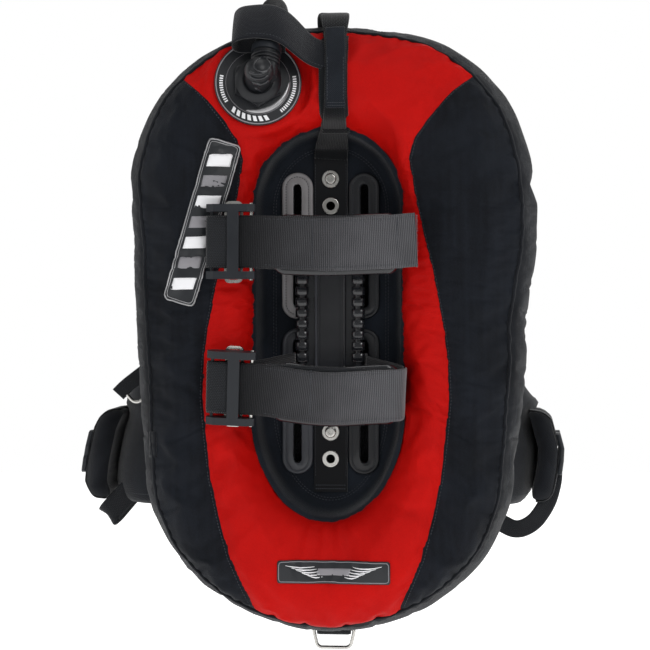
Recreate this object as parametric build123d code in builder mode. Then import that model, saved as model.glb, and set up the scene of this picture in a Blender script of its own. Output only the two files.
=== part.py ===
"""Back-inflation diving vest: a ring-shaped air cell on a backplate, with a harness in front of it.

Millimetres. +X is the wearer's right, +Y points the way the wearer faces, +Z is up. The origin is the
inside top of the carrying handle, where the vest hangs from a hook. The cylinder goes on the -Y side.
"""

import os
from math import cos, hypot, pi, radians, sin, tan

from build123d import *

os.makedirs("parts", exist_ok=True)

# ---- driving dimensions ----
# air cell
WING_TOP = -14.0
WING_BOTTOM = -670.0
WING_HALF = 219.5
WIDEST_Z = -179.5
SHOULDER_R = 159.0
SIDE_R = 2400.0
WING_FRONT = -75.0
WING_BACK = 35.0
LOBE_R = 45.0
HOLE_R = 83.0
HOLE_TOP = -118.0
HOLE_BOTTOM = -553.0
HOLE_MID = (HOLE_TOP + HOLE_BOTTOM) / 2
SHELL_WALL = 2.0
BLADDER_GAP = 0.3
BLADDER_WALL = 1.2

# centre panel and its hardware
PANEL_T = 3.0
PITCH = 279.4
BOLT_TOP = -176.3
EYELET_TOP = -206.0
EYELET_HOLE_R = 5.0
SLOT_X = 37.0
SLOT_Z = (-250.0, -422.0)
SLOT_LONG = 136.0
SLOT_WIDE = 9.0
TRIM_BAND = 13.0
STRIP_HALF = 18.5
STRIP_T = 2.5
PLATE_BACK = 10.0
PLATE_FRONT = 4.0

# shoulder valve on the air cell's upper left, its axis tilted up and towards the middle
VALVE_AT = (-73.5, -66.0, -76.0)
VALVE_UP = 10.0
VALVE_IN = 8.0
FLANGE_R = 47.0
STEM_R = 14.0
NUT_BASE = 6.6
NUT_HEX = 7.0
NUT_CONE = 5.0
ELBOW_OUT = 50.0
NECK_LONG = 27.0

# corrugated hose, limp, whose route runs from the elbow's neck over the shoulder to the inflator
HOSE_R = 14.0
HOSE_ROUTE = [
    (-61.5, -94.5, -48.0),
    (-60.0, -83.5, -22.0),
    (-59.0, -61.6, -1.9),
    (-59.0, -32.5, 8.7),
    (-61.0, 5.4, 6.1),
    (-67.0, 50.8, -1.1),
    (-79.0, 98.9, -14.9),
    (-92.0, 136.6, -41.3),
    (-105.0, 161.2, -77.8),
    (-115.0, 172.6, -120.3),
    (-121.0, 174.9, -164.2),
    (-121.0, 174.9, -206.2),
]

# tank bands: height at the backplate, tilt down towards the cylinder, slope across
BAND_W = 56.0
BAND_T = 2.4
BANDS = {"upper": (-250.0, -2.0, 0.0), "lower": (-395.0, 8.0, 2.5)}
SLOT_PASS_X = 39.5
BAND_FRONT = -93.1
HINGE_X = -78.0
HINGE_Y = -89.0
PIN_R = 2.0
BUCKLE_HALF = 40.0

# harness
PAD_FRONT = 17.0
PAD_BACK = 46.0
STRAP_X = 52.0
STRAP_Y = 52.0
STRAP_YAW = 14.0
STRAP_W = 62.0
STRAP_T = 10.0
WEBBING_W = 38.0
WEBBING_T = 2.4
WAIST_Z = -488.0
WAIST_HALF = 56.0


def save(part, name):
    """Labels a finished piece and writes it as its own node."""
    part.label = name
    export_step(part, f"parts/{name}.step")


# ---- air cell ----
def ring_solid(inset):
    """The air cell's outer form, moved inwards by inset: a filleted ring with a flat seat for the valve."""
    top, bottom = WING_TOP, WING_BOTTOM
    # four tangent arcs make each side: top, shoulder, long side and bottom
    shoulder_x = WING_HALF - SHOULDER_R
    rise = top - SHOULDER_R - WIDEST_Z
    top_r = (shoulder_x**2 + rise**2) / (2 * rise) + SHOULDER_R
    reach = hypot(shoulder_x, top_r - SHOULDER_R - rise)
    shoulder_start = (
        shoulder_x + SHOULDER_R * shoulder_x / reach,
        WIDEST_Z + SHOULDER_R * (top_r - SHOULDER_R - rise) / reach,
    )
    side_x = WING_HALF - SIDE_R
    drop = WIDEST_Z - bottom
    bottom_r = (side_x**2 + drop**2 - SIDE_R**2) / (2 * (drop - SIDE_R))
    lean = hypot(side_x, drop - bottom_r)
    side_end = (
        -side_x * bottom_r / lean,
        bottom + bottom_r - (drop - bottom_r) * bottom_r / lean,
    )
    with BuildPart() as ring:
        with BuildSketch(Plane.XZ.offset(-WING_BACK + inset)):
            with BuildLine():
                a = TangentArc((0, top), shoulder_start, tangent=(1, 0))
                b = TangentArc(a @ 1, (WING_HALF, WIDEST_Z), tangent=a % 1)
                c = TangentArc(b @ 1, side_end, tangent=b % 1)
                TangentArc(c @ 1, (0, bottom), tangent=c % 1)
                mirror(about=Plane.YZ)
            make_face()
            if inset:
                offset(amount=-inset)
            with Locations((0, HOLE_MID)):
                SlotOverall(
                    HOLE_TOP - HOLE_BOTTOM + 2 * inset,
                    2 * (HOLE_R + inset),
                    rotation=90,
                    mode=Mode.SUBTRACT,
                )
        extrude(amount=WING_BACK - WING_FRONT - 2 * inset)
        ends = ring.faces().filter_by(Axis.Y)
        fillet(ends.edges(), LOBE_R - inset)
        with BuildSketch(VALVE_PLANE.offset(-inset)):
            Circle(FLANGE_R + 3 + inset)
        extrude(amount=80, mode=Mode.SUBTRACT)
    return ring.part


VALVE_AXIS = (
    sin(radians(VALVE_IN)) * cos(radians(VALVE_UP)),
    -cos(radians(VALVE_IN)) * cos(radians(VALVE_UP)),
    sin(radians(VALVE_UP)),
)
VALVE_ACROSS = (cos(radians(VALVE_IN)), sin(radians(VALVE_IN)), 0)
VALVE_PLANE = Plane(origin=VALVE_AT, x_dir=VALVE_ACROSS, z_dir=VALVE_AXIS)
DUMP_X = -120.0
DUMP_Z = -573.0
DUMP_PLANE = Plane(origin=(DUMP_X, WING_BACK, DUMP_Z), x_dir=(1, 0, 0), z_dir=(0, 1, 0))
DUMP_STEM_R = 11.0


def hollow(outer_inset, wall):
    """A closed fabric skin around the air, open only at the two valve ports."""
    with BuildPart() as skin:
        add(ring_solid(outer_inset))
        add(ring_solid(outer_inset + wall), mode=Mode.SUBTRACT)
        with BuildSketch(VALVE_PLANE.offset(-12)):
            Circle(STEM_R + 0.3)
        extrude(amount=20, mode=Mode.SUBTRACT)
        with BuildSketch(DUMP_PLANE.offset(-12)):
            Circle(DUMP_STEM_R + 0.3)
        extrude(amount=20, mode=Mode.SUBTRACT)
    return skin.part


save(hollow(0, SHELL_WALL), "wing_shell")
save(hollow(SHELL_WALL + BLADDER_GAP, BLADDER_WALL), "wing_bladder")

# ---- centre panel, its trim and the hardware that clamps it to the backplate ----
BOLT_HOLES = [(0, BOLT_TOP), (0, BOLT_TOP - PITCH)]
EYELET_HOLES = [(0, EYELET_TOP), (0, EYELET_TOP - PITCH)]
SLOTS = [(side * SLOT_X, z) for side in (-1, 1) for z in SLOT_Z]
BOLT_R = 4.0


def on_plane(y):
    """A sketch plane facing -Y at depth y: sketch x is X, sketch y is Z."""
    return Plane.XZ.offset(-y)


with BuildPart() as centre_panel:
    with BuildSketch(on_plane(PANEL_T)):
        with Locations((0, HOLE_MID)):
            SlotOverall(HOLE_TOP - HOLE_BOTTOM - 0.8, 2 * HOLE_R - 0.8, rotation=90)
        with Locations(*SLOTS):
            SlotOverall(SLOT_LONG, SLOT_WIDE, rotation=90, mode=Mode.SUBTRACT)
        with Locations(*BOLT_HOLES):
            Circle(BOLT_R + 0.3, mode=Mode.SUBTRACT)
        with Locations(*EYELET_HOLES):
            Circle(EYELET_HOLE_R + 1.2, mode=Mode.SUBTRACT)
    extrude(amount=PANEL_T)
save(centre_panel.part, "centre_panel")

with BuildPart() as slot_trim_rings:
    with BuildSketch(on_plane(0)):
        with Locations(*SLOTS):
            SlotOverall(SLOT_LONG + 2 * TRIM_BAND, SLOT_WIDE + 2 * TRIM_BAND, rotation=90)
        with Locations(*SLOTS):
            SlotOverall(SLOT_LONG, SLOT_WIDE, rotation=90, mode=Mode.SUBTRACT)
    extrude(amount=2.2)
    # a raised bead runs round the outer edge of each ring
    with BuildSketch(on_plane(-2.2)):
        with Locations(*SLOTS):
            SlotOverall(SLOT_LONG + 2 * TRIM_BAND, SLOT_WIDE + 2 * TRIM_BAND, rotation=90)
        with Locations(*SLOTS):
            SlotOverall(
                SLOT_LONG + 2 * TRIM_BAND - 5,
                SLOT_WIDE + 2 * TRIM_BAND - 5,
                rotation=90,
                mode=Mode.SUBTRACT,
            )
    extrude(amount=1.4)
save(slot_trim_rings.part, "slot_trim_rings")

STRIP_TOP = -150.0
STRIP_END = -522.0
with BuildPart() as centre_strip:
    with BuildSketch(on_plane(0)):
        with Locations((0, (STRIP_TOP + STRIP_END) / 2)):
            Rectangle(2 * STRIP_HALF, STRIP_TOP - STRIP_END)
        with Locations(*BOLT_HOLES):
            Circle(BOLT_R + 0.3, mode=Mode.SUBTRACT)
        with Locations(*EYELET_HOLES):
            Circle(EYELET_HOLE_R + 1.2, mode=Mode.SUBTRACT)
    extrude(amount=STRIP_T)
save(centre_strip.part, "centre_strip")

EYELET_R = 9.5
with BuildPart() as panel_eyelets:
    # a rolled flange in front of the strip and a tube through the strip and the panel
    with BuildSketch(on_plane(-STRIP_T - 0.1)):
        with Locations(*EYELET_HOLES):
            Circle(EYELET_R)
    extrude(amount=1.6)
    with BuildSketch(on_plane(PANEL_T)):
        with Locations(*EYELET_HOLES):
            Circle(EYELET_HOLE_R + 0.9)
    extrude(amount=PANEL_T + STRIP_T + 0.2)
    rim = panel_eyelets.faces().sort_by(Axis.Y)[:2].edges().filter_by(GeomType.CIRCLE)
    fillet(rim, 1.0)
    with BuildSketch(on_plane(PANEL_T + 1)):
        with Locations(*EYELET_HOLES):
            Circle(EYELET_HOLE_R)
    extrude(amount=20, mode=Mode.SUBTRACT)
save(panel_eyelets.part, "panel_eyelets")

WASHER_Y = -STRIP_T - 0.1
with BuildPart() as bolt_washers:
    with BuildSketch(on_plane(WASHER_Y)):
        with Locations(*BOLT_HOLES):
            Circle(9.8)
        with Locations(*BOLT_HOLES):
            Circle(BOLT_R + 0.3, mode=Mode.SUBTRACT)
    extrude(amount=1.8)
    chamfer(bolt_washers.faces().sort_by(Axis.Y)[:2].edges(), 0.6)
save(bolt_washers.part, "bolt_washers")

HEAD_Y = WASHER_Y - 1.85
NUT_T = 5.0
with BuildPart() as plate_bolts:
    with BuildSketch(on_plane(PLATE_BACK + NUT_T + 0.6)):
        with Locations(*BOLT_HOLES):
            Circle(BOLT_R)
    extrude(amount=PLATE_BACK + NUT_T + 0.6 - HEAD_Y)
    with BuildSketch(on_plane(HEAD_Y)):
        with Locations(*BOLT_HOLES):
            Circle(6.4)
    extrude(amount=3.4)
    heads = plate_bolts.faces().sort_by(Axis.Y)[:2].edges()
    fillet(heads, 2.2)
    with BuildSketch(on_plane(HEAD_Y - 1.4)):
        with Locations(*BOLT_HOLES):
            RegularPolygon(2.5, 6)
    extrude(amount=4, mode=Mode.SUBTRACT)
save(plate_bolts.part, "plate_bolts")

with BuildPart() as plate_nuts:
    with BuildSketch(on_plane(PLATE_BACK + 0.1 + NUT_T)):
        with Locations(*BOLT_HOLES):
            RegularPolygon(7.0, 6)
        with Locations(*BOLT_HOLES):
            Circle(BOLT_R + 0.05, mode=Mode.SUBTRACT)
    extrude(amount=NUT_T)
save(plate_nuts.part, "plate_nuts")

with BuildPart() as backplate:
    with BuildSketch(on_plane(PLATE_BACK)):
        with BuildLine():
            FilletPolyline(
                (-46, -148), (46, -148), (72, -225), (72, -445), (48, -528), (-48, -528), (-72, -445), (-72, -225),
                radius=22,
                close=True,
            )
        make_face()
        with Locations(*SLOTS):
            SlotOverall(SLOT_LONG, SLOT_WIDE, rotation=90, mode=Mode.SUBTRACT)
        with Locations(*BOLT_HOLES):
            Circle(BOLT_R + 0.3, mode=Mode.SUBTRACT)
        with Locations(*EYELET_HOLES):
            Circle(EYELET_HOLE_R + 0.6, mode=Mode.SUBTRACT)
    extrude(amount=PLATE_BACK - PLATE_FRONT)
    chamfer(backplate.faces().sort_by(Axis.Y)[-1].outer_wire().edges(), 1.5)
save(backplate.part, "backplate")

# ---- tank cradle: a plate between two ribbed columns that stop the cylinder from turning ----
CRADLE_Z = (-232.0, -392.0)
CRADLE_MID = sum(CRADLE_Z) / 2
COLUMN_X = 31.0
COLUMN_R = 6.5
RIB_PITCH = 12.2
RIB_COUNT = 11
CRADLE_Y = -STRIP_T - 1.6
with BuildPart() as tank_cradle:
    with BuildSketch(on_plane(CRADLE_Y)):
        with Locations((0, CRADLE_MID)):
            RectangleRounded(34, CRADLE_Z[0] - CRADLE_Z[1], 4)
    extrude(amount=6)
    with BuildSketch(on_plane(CRADLE_Y - 6)):
        with Locations((0, CRADLE_MID)):
            RectangleRounded(24, CRADLE_Z[0] - CRADLE_Z[1] - 12, 3)
    extrude(amount=-2, mode=Mode.SUBTRACT)
    # feet join the columns to the middle plate behind the ribs
    with BuildSketch(on_plane(CRADLE_Y)):
        with Locations((0, CRADLE_MID)):
            Rectangle(2 * COLUMN_X, CRADLE_Z[0] - CRADLE_Z[1] - 20)
    extrude(amount=3)
    for side in (-1, 1):
        with BuildSketch(Plane.XY.offset(CRADLE_Z[1] + 6)):
            with Locations((side * COLUMN_X, CRADLE_Y - COLUMN_R + 0.8)):
                Circle(COLUMN_R - 1.6)
        extrude(amount=CRADLE_Z[0] - CRADLE_Z[1] - 12)
        for i in range(RIB_COUNT):
            rib_z = CRADLE_MID + (i - (RIB_COUNT - 1) / 2) * RIB_PITCH
            with BuildSketch(Plane.XY.offset(rib_z - 3.2)):
                with Locations((side * COLUMN_X, CRADLE_Y - COLUMN_R + 0.8)):
                    Circle(COLUMN_R)
            extrude(amount=6.4)
    # the columns stop at the face of the panel's trim rings
    with BuildSketch(on_plane(60)):
        with Locations((0, CRADLE_MID)):
            Rectangle(200, 400)
    extrude(amount=60 - CRADLE_Y, mode=Mode.SUBTRACT)
save(tank_cradle.part, "tank_cradle")

# ---- carrying handle ----
HANDLE_T = 3.0
with BuildPart() as carrying_handle:
    with BuildSketch(Plane.YZ):
        with BuildLine():
            FilletPolyline(
                (-4.2, -178), (-4.2, -152), (-80, -98), (-80.5, -40), (-52, 1.5),
                (8, 1.5), (40.5, -32), (40.5, -100), (13.5, -132), (13.5, -152),
                radius=9,
            )
        trace(line_width=HANDLE_T)
    extrude(amount=15, both=True)
    with BuildSketch(on_plane(-20)):
        with Locations(BOLT_HOLES[0]):
            Circle(10.4)
    extrude(amount=-40, mode=Mode.SUBTRACT)
save(carrying_handle.part, "carrying_handle")

with BuildPart() as handle_grip:
    with BuildSketch(Plane.YZ):
        with BuildLine():
            FilletPolyline((-83.8, -94), (-84.3, -39.2), (-57.8, -0.6), radius=12.6)
        trace(line_width=3)
    extrude(amount=11.5, both=True)
save(handle_grip.part, "handle_grip")

# ---- sewn patches, left blank ----
PATCH_T = 1.6
with BuildPart() as side_patch:
    with BuildSketch(on_plane(WING_FRONT - 0.3)):
        with Locations((-133.0, -230.0)):
            RectangleRounded(35, 182, 6, rotation=-15.0)
    extrude(amount=PATCH_T)
save(side_patch.part, "side_patch")
with BuildPart() as bottom_patch:
    with BuildSketch(on_plane(WING_FRONT - 0.3)):
        with Locations((9.5, -602.0)):
            RectangleRounded(122, 24.5, 5, rotation=-1)
    extrude(amount=PATCH_T)
save(bottom_patch.part, "bottom_patch")

# ---- shoulder valve: flange, cap nut, elbow, dump disc ----
with BuildPart() as valve_flange:
    with BuildSketch(VALVE_PLANE.offset(0.3)):
        Circle(FLANGE_R)
        Circle(STEM_R + 0.4, mode=Mode.SUBTRACT)
    extrude(amount=3)
    with BuildSketch(VALVE_PLANE.offset(3.3)):
        Circle(FLANGE_R - 13)
        Circle(STEM_R + 0.4, mode=Mode.SUBTRACT)
    extrude(amount=3)
save(valve_flange.part, "valve_flange")

with BuildPart() as elbow_nut:
    with BuildSketch(VALVE_PLANE.offset(NUT_BASE)):
        RegularPolygon(28.5, 6, rotation=30)
    extrude(amount=NUT_HEX)
    with BuildSketch(VALVE_PLANE.offset(NUT_BASE + NUT_HEX)):
        Circle(24.5)
    extrude(amount=NUT_CONE, taper=52)
    with BuildSketch(VALVE_PLANE):
        Circle(STEM_R + 0.4)
    extrude(amount=60, mode=Mode.SUBTRACT)
save(elbow_nut.part, "elbow_nut")

# the elbow is a stem along the valve axis and a neck along the hose's first run, joined by a ball
neck_end = Vector(*HOSE_ROUTE[0])
neck_dir = (Vector(*HOSE_ROUTE[1]) - neck_end).normalized()
knuckle = Vector(*VALVE_AT) + Vector(*VALVE_AXIS) * ELBOW_OUT
neck_root = neck_end - neck_dir * NECK_LONG
NECK_PLANE = Plane(origin=neck_end, x_dir=(1, 0, 0), z_dir=neck_dir)
print("elbow: stem end to neck root", round((knuckle - neck_root).length, 2))
ELBOW_BORE = 9.5
with BuildPart() as elbow_body:
    with BuildSketch(VALVE_PLANE.offset(-7.0)):
        Circle(STEM_R)
    extrude(amount=ELBOW_OUT + 7.0)
    with Locations(VALVE_PLANE.offset(ELBOW_OUT)):
        Sphere(STEM_R + 1.5)
    with BuildSketch(NECK_PLANE.offset(-NECK_LONG)):
        Circle(STEM_R)
    extrude(amount=NECK_LONG)
    with BuildSketch(VALVE_PLANE.offset(-8.0)):
        Circle(ELBOW_BORE)
    extrude(amount=ELBOW_OUT + 8.0, mode=Mode.SUBTRACT)
    with BuildSketch(NECK_PLANE.offset(-NECK_LONG)):
        Circle(ELBOW_BORE)
    extrude(amount=NECK_LONG + 1, mode=Mode.SUBTRACT)
save(elbow_body.part, "elbow_body")

DISC_R = 8.6
with BuildPart() as elbow_valve_disc:
    with BuildSketch(VALVE_PLANE.offset(2.0)):
        Circle(DISC_R)
    extrude(amount=3.0)
    with BuildSketch(VALVE_PLANE.offset(5.0)):
        Circle(2.0)
    extrude(amount=20.0)
save(elbow_valve_disc.part, "elbow_valve_disc")


def coil_spring(plane, radius, wire_r, length, turns):
    """A helical compression spring standing on a plane."""
    with BuildPart() as spring:
        with BuildLine():
            path = Helix(length / turns, length, radius, center=plane.origin, direction=plane.z_dir)
        with BuildSketch(Plane(origin=path @ 0, z_dir=path % 0)):
            Circle(wire_r)
        sweep(path=path, is_frenet=True)
    return spring.part


elbow_spring = coil_spring(VALVE_PLANE.offset(6.5), 5.5, 0.7, 20.0, 6)

# ---- corrugated hose ----
def run_length(i):
    return (Vector(*HOSE_ROUTE[i + 1]) - Vector(*HOSE_ROUTE[i])).length


def half_turn(i):
    before = Vector(*HOSE_ROUTE[i]) - Vector(*HOSE_ROUTE[i - 1])
    after = Vector(*HOSE_ROUTE[i + 1]) - Vector(*HOSE_ROUTE[i])
    return radians(before.get_angle(after) / 2)


corners = range(1, len(HOSE_ROUTE) - 1)
hose_radii = [0.45 * min(run_length(i - 1), run_length(i)) / tan(half_turn(i)) for i in corners]
with BuildPart() as corrugated_hose:
    with BuildLine():
        hose_path = FilletPolyline(*HOSE_ROUTE, radius=hose_radii)
    with BuildSketch(NECK_PLANE):
        Circle(HOSE_R)
    sweep(path=hose_path)
print("hose radii", [round(r) for r in hose_radii])
print("hose length", round(hose_path.length, 1), "volume / (section x length)",
      round(corrugated_hose.part.volume / (pi * HOSE_R**2 * hose_path.length), 4))
save(corrugated_hose.part, "corrugated_hose")

# ---- power inflator on the hose's end ----
INFLATOR_AT = HOSE_ROUTE[-1]
INFLATOR_LONG = 104.0
INFLATOR_W = 30.0
INFLATOR_D = 34.0
INFLATOR_PLANE = Plane(origin=INFLATOR_AT, x_dir=(1, 0, 0), z_dir=(0, 0, -1))
BUTTON_R = 9.0
BUTTON_OUT = 5.0
INFLATE_Z = INFLATOR_AT[2] - 48.0
INFLATOR_FRONT = INFLATOR_AT[1] + INFLATOR_D / 2
BUTTON_BORE = 8.0
with BuildPart() as inflator_body:
    with BuildSketch(INFLATOR_PLANE):
        Circle(HOSE_R)
    extrude(amount=12)
    with BuildSketch(INFLATOR_PLANE.offset(12)):
        RectangleRounded(INFLATOR_W, INFLATOR_D, 10)
    extrude(amount=INFLATOR_LONG - 12)
    fillet(inflator_body.faces().sort_by(Axis.Z)[0].edges(), 4)
    # bores that the two buttons slide in
    with BuildSketch(Plane.XZ.offset(-INFLATOR_FRONT + BUTTON_BORE)):
        with Locations((INFLATOR_AT[0], INFLATE_Z)):
            Circle(BUTTON_R + 0.3)
    extrude(amount=-BUTTON_BORE - 1, mode=Mode.SUBTRACT)
    with BuildSketch(INFLATOR_PLANE.offset(INFLATOR_LONG - BUTTON_BORE)):
        Circle(BUTTON_R + 0.3)
    extrude(amount=BUTTON_BORE + 1, mode=Mode.SUBTRACT)
save(inflator_body.part, "inflator_body")

with BuildPart() as inflate_button:
    with BuildSketch(Plane.XZ.offset(-INFLATOR_FRONT + 3.4)):
        with Locations((INFLATOR_AT[0], INFLATE_Z)):
            Circle(BUTTON_R)
    extrude(amount=-3.4 - BUTTON_OUT)
    fillet(inflate_button.faces().sort_by(Axis.Y)[-1].edges(), 1.5)
save(inflate_button.part, "inflate_button")
with BuildPart() as deflate_button:
    with BuildSketch(INFLATOR_PLANE.offset(INFLATOR_LONG - 3.6)):
        Circle(BUTTON_R)
    extrude(amount=3.6 + BUTTON_OUT)
    fillet(deflate_button.faces().sort_by(Axis.Z)[0].edges(), 1.5)
save(deflate_button.part, "deflate_button")

MOUTH_Z = INFLATOR_AT[2] - 78.0
MOUTH_PLANE = Plane(
    origin=(INFLATOR_AT[0], INFLATOR_FRONT, MOUTH_Z), x_dir=(1, 0, 0), z_dir=(0, 1, 0)
)
with BuildPart() as mouthpiece:
    with BuildSketch(MOUTH_PLANE):
        Circle(10)
    extrude(amount=14)
    with BuildSketch(MOUTH_PLANE.offset(14)):
        SlotOverall(38, 22)
    extrude(amount=12)
    fillet(mouthpiece.faces().sort_by(Axis.Y)[-1].edges(), 3)
    with BuildSketch(MOUTH_PLANE):
        Circle(6)
    extrude(amount=30, mode=Mode.SUBTRACT)
save(mouthpiece.part, "mouthpiece")

NIPPLE_PLANE = Plane(
    origin=(INFLATOR_AT[0] - INFLATOR_W / 2, INFLATOR_AT[1], INFLATE_Z), x_dir=(0, 1, 0), z_dir=(-1, 0, 0)
)
NIPPLE_R = 4.75
NIPPLE_LONG = 12.0
with BuildPart() as quick_connect_nipple:
    with BuildSketch(NIPPLE_PLANE):
        RegularPolygon(8, 6)
    extrude(amount=6)
    with BuildSketch(NIPPLE_PLANE.offset(6)):
        Circle(NIPPLE_R)
    extrude(amount=NIPPLE_LONG)
    with BuildSketch(NIPPLE_PLANE.offset(3)):
        Circle(2)
    extrude(amount=40, mode=Mode.SUBTRACT)
save(quick_connect_nipple.part, "quick_connect_nipple")

# two tie bands clamp the hose on the neck and on the inflator
CLAMP_W = 7.0
hose_end = Plane(origin=HOSE_ROUTE[-1], x_dir=(1, 0, 0), z_dir=(0, 0, 1))
with BuildPart() as hose_clamps:
    for plane in (NECK_PLANE, hose_end):
        with BuildSketch(plane.offset(2)):
            Circle(HOSE_R + 2.0)
            Circle(HOSE_R + 0.05, mode=Mode.SUBTRACT)
        extrude(amount=CLAMP_W)
save(hose_clamps.part, "hose_clamps")

# ---- hook-and-loop keeper strap: a loop round the hose and a tail to the handle ----
# it follows the air cell's rounded top, so it is turned about that lobe's centre line
LOBE_AXIS = Axis((0, WING_FRONT + LOBE_R, -60.0), (-1, 0, 0))
KEEPER_T = 2.0


def turned_strip(profile_points, closed, first, last):
    """A strip of cloth: a line in X and radius, turned about the lobe from one angle to another."""
    start = Plane(
        origin=LOBE_AXIS.position,
        x_dir=(1, 0, 0),
        z_dir=(0, sin(radians(first)), cos(radians(first))),
    )
    with BuildPart() as strip:
        with BuildSketch(start):
            with BuildLine():
                FilletPolyline(*profile_points, radius=4, close=closed)
            trace(line_width=KEEPER_T)
        revolve(axis=LOBE_AXIS, revolution_arc=last - first)
    return strip.part


loop_points = [(-96, -47.8), (-41, -47.8), (-41, -83.5), (-96, -83.5)]
with BuildPart() as hose_keeper_strap:
    add(turned_strip(loop_points, True, 20, 56))
    add(turned_strip([(-50, -83.5), (-38, -83.5), (-34, -47.8), (-13, -47.8)], False, 6, 42))
save(hose_keeper_strap.part, "hose_keeper_strap")

# ---- tank bands: each band has its webbing, rubber pad, steel ring, cam lever and pin ----
def band_plane(name):
    """The plane that a band's outline is drawn in; its normal runs across the webbing."""
    height, tilt, slope = BANDS[name]
    along = Vector(1, 0, 0).rotate(Axis.Y, slope).rotate(Axis.X, tilt)
    across = Vector(0, 0, 1).rotate(Axis.Y, slope).rotate(Axis.X, tilt)
    return Plane(origin=(0, 0, height), x_dir=along, z_dir=across)


def webbing(plane, points, radius, width, thickness, closed=False):
    """A flat strap that follows points in a plane, its width centred on the plane."""
    with BuildPart() as strap:
        with BuildSketch(plane):
            with BuildLine():
                if radius:
                    FilletPolyline(*points, radius=radius, close=closed)
                else:
                    Polyline(*points)
            trace(line_width=thickness)
        extrude(amount=width / 2, both=True)
    return strap.part


BAND_RIGHT = 82.0
LEVER_LEFT = -126.0
LEVER_BAR = (-120.5, -90.5)
CROSSBAR = (-104.0, -90.0)
RAIL_T = 8.0
TAIL_END = {"upper": 99.0, "lower": 70.0}
THROUGH_RISE = {"upper": 0.0, "lower": -1.5}
behind = PLATE_BACK + 1.6
pins = []
rings = []
for name in BANDS:
    plane = band_plane(name)
    # the back run leaves the pin, goes through both slots behind the plate and folds to the front
    through = [
        (-SLOT_PASS_X, -13), (-SLOT_PASS_X, behind), (SLOT_PASS_X, behind), (SLOT_PASS_X, -13),
    ]
    left_run = [(-79.5, -80), (-70, -68), (-SLOT_PASS_X, -12.5)]
    right_run = [
        (SLOT_PASS_X, -12.5), (BAND_RIGHT, -66), (BAND_RIGHT, BAND_FRONT + 3.4), (-64, BAND_FRONT + 3.4),
    ]
    with BuildPart() as tank_band:
        add(webbing(Plane.XY.offset(BANDS[name][0] + THROUGH_RISE[name]), through, 3.2, BAND_W, BAND_T))
        add(webbing(plane, left_run, 3.2, BAND_W, BAND_T))
        add(webbing(plane, right_run, 3.2, BAND_W, BAND_T))
        add(webbing(plane, [(-66, BAND_FRONT), (TAIL_END[name], BAND_FRONT)], 0, BAND_W, BAND_T))
    save(tank_band.part, f"{name}_tank_band")
    with BuildPart() as band_pad:
        pad_run = [(-62, BAND_FRONT + 8.2), (BAND_RIGHT - 5, BAND_FRONT + 8.2), (BAND_RIGHT - 5, -68)]
        add(webbing(plane, pad_run, 3, BAND_W + 8, 5.0))
    save(band_pad.part, f"{name}_band_pad")
    with BuildPart() as cam_buckle:
        with BuildSketch(plane.offset(-BUCKLE_HALF)):
            with BuildLine():
                Polyline(
                    (LEVER_LEFT, -88.5), (LEVER_LEFT, -94.5), (-118, -98.5), (-82, -98.5),
                    (-74, -94.5), (-74, -85.5), (-82, -84), (-120, -84.5), close=True,
                )
            make_face()
        extrude(amount=2 * BUCKLE_HALF)
        with BuildSketch(plane.offset(-BUCKLE_HALF + RAIL_T)):
            Rectangle(400, 400)
        extrude(amount=2 * (BUCKLE_HALF - RAIL_T), mode=Mode.SUBTRACT)
        for bar, wide, deep in ((LEVER_BAR, 3.6, 3.6), ((sum(CROSSBAR) / 2, -97.1), 13, 2.8)):
            with BuildSketch(plane.offset(-BUCKLE_HALF + RAIL_T / 2)):
                with Locations(bar):
                    RectangleRounded(wide, deep, 1.2)
            extrude(amount=2 * BUCKLE_HALF - RAIL_T)
        with BuildSketch(plane.offset(-BUCKLE_HALF - 1)):
            with Locations((HINGE_X, HINGE_Y)):
                Circle(PIN_R + 0.05)
        extrude(amount=2 * BUCKLE_HALF + 2, mode=Mode.SUBTRACT)
    save(cam_buckle.part, f"{name}_cam_buckle")
    # the free end rolls round the lever's end bar and runs under the crossbar
    roll = [(-88, -86.6), (-120.5, -86.6), (-125.4, -89), (-125.4, -92), (-120.5, -94.4), (-88, -94.4)]
    save(webbing(plane, roll, 1.5, BAND_W, BAND_T), f"{name}_band_roll")
    with BuildPart() as pin:
        with BuildSketch(plane.offset(-BUCKLE_HALF - 1.5)):
            with Locations((HINGE_X, HINGE_Y)):
                Circle(PIN_R)
        extrude(amount=2 * BUCKLE_HALF + 3)
    with BuildPart() as ring:
        ring_plane = Plane(origin=plane.from_local_coords(Vector(-98, -80.8, 0)), x_dir=plane.x_dir,
                           z_dir=-plane.y_dir)
        with BuildSketch(ring_plane.offset(-1.8)):
            RectangleRounded(20, 88, 6)
            offset(amount=-3.6, mode=Mode.SUBTRACT)
        extrude(amount=3.6)
    pins.append(pin.part)
    rings.append(ring.part)
save(pins[0] + pins[1], "buckle_pins")
save(rings[0] + rings[1], "band_rings")

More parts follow.
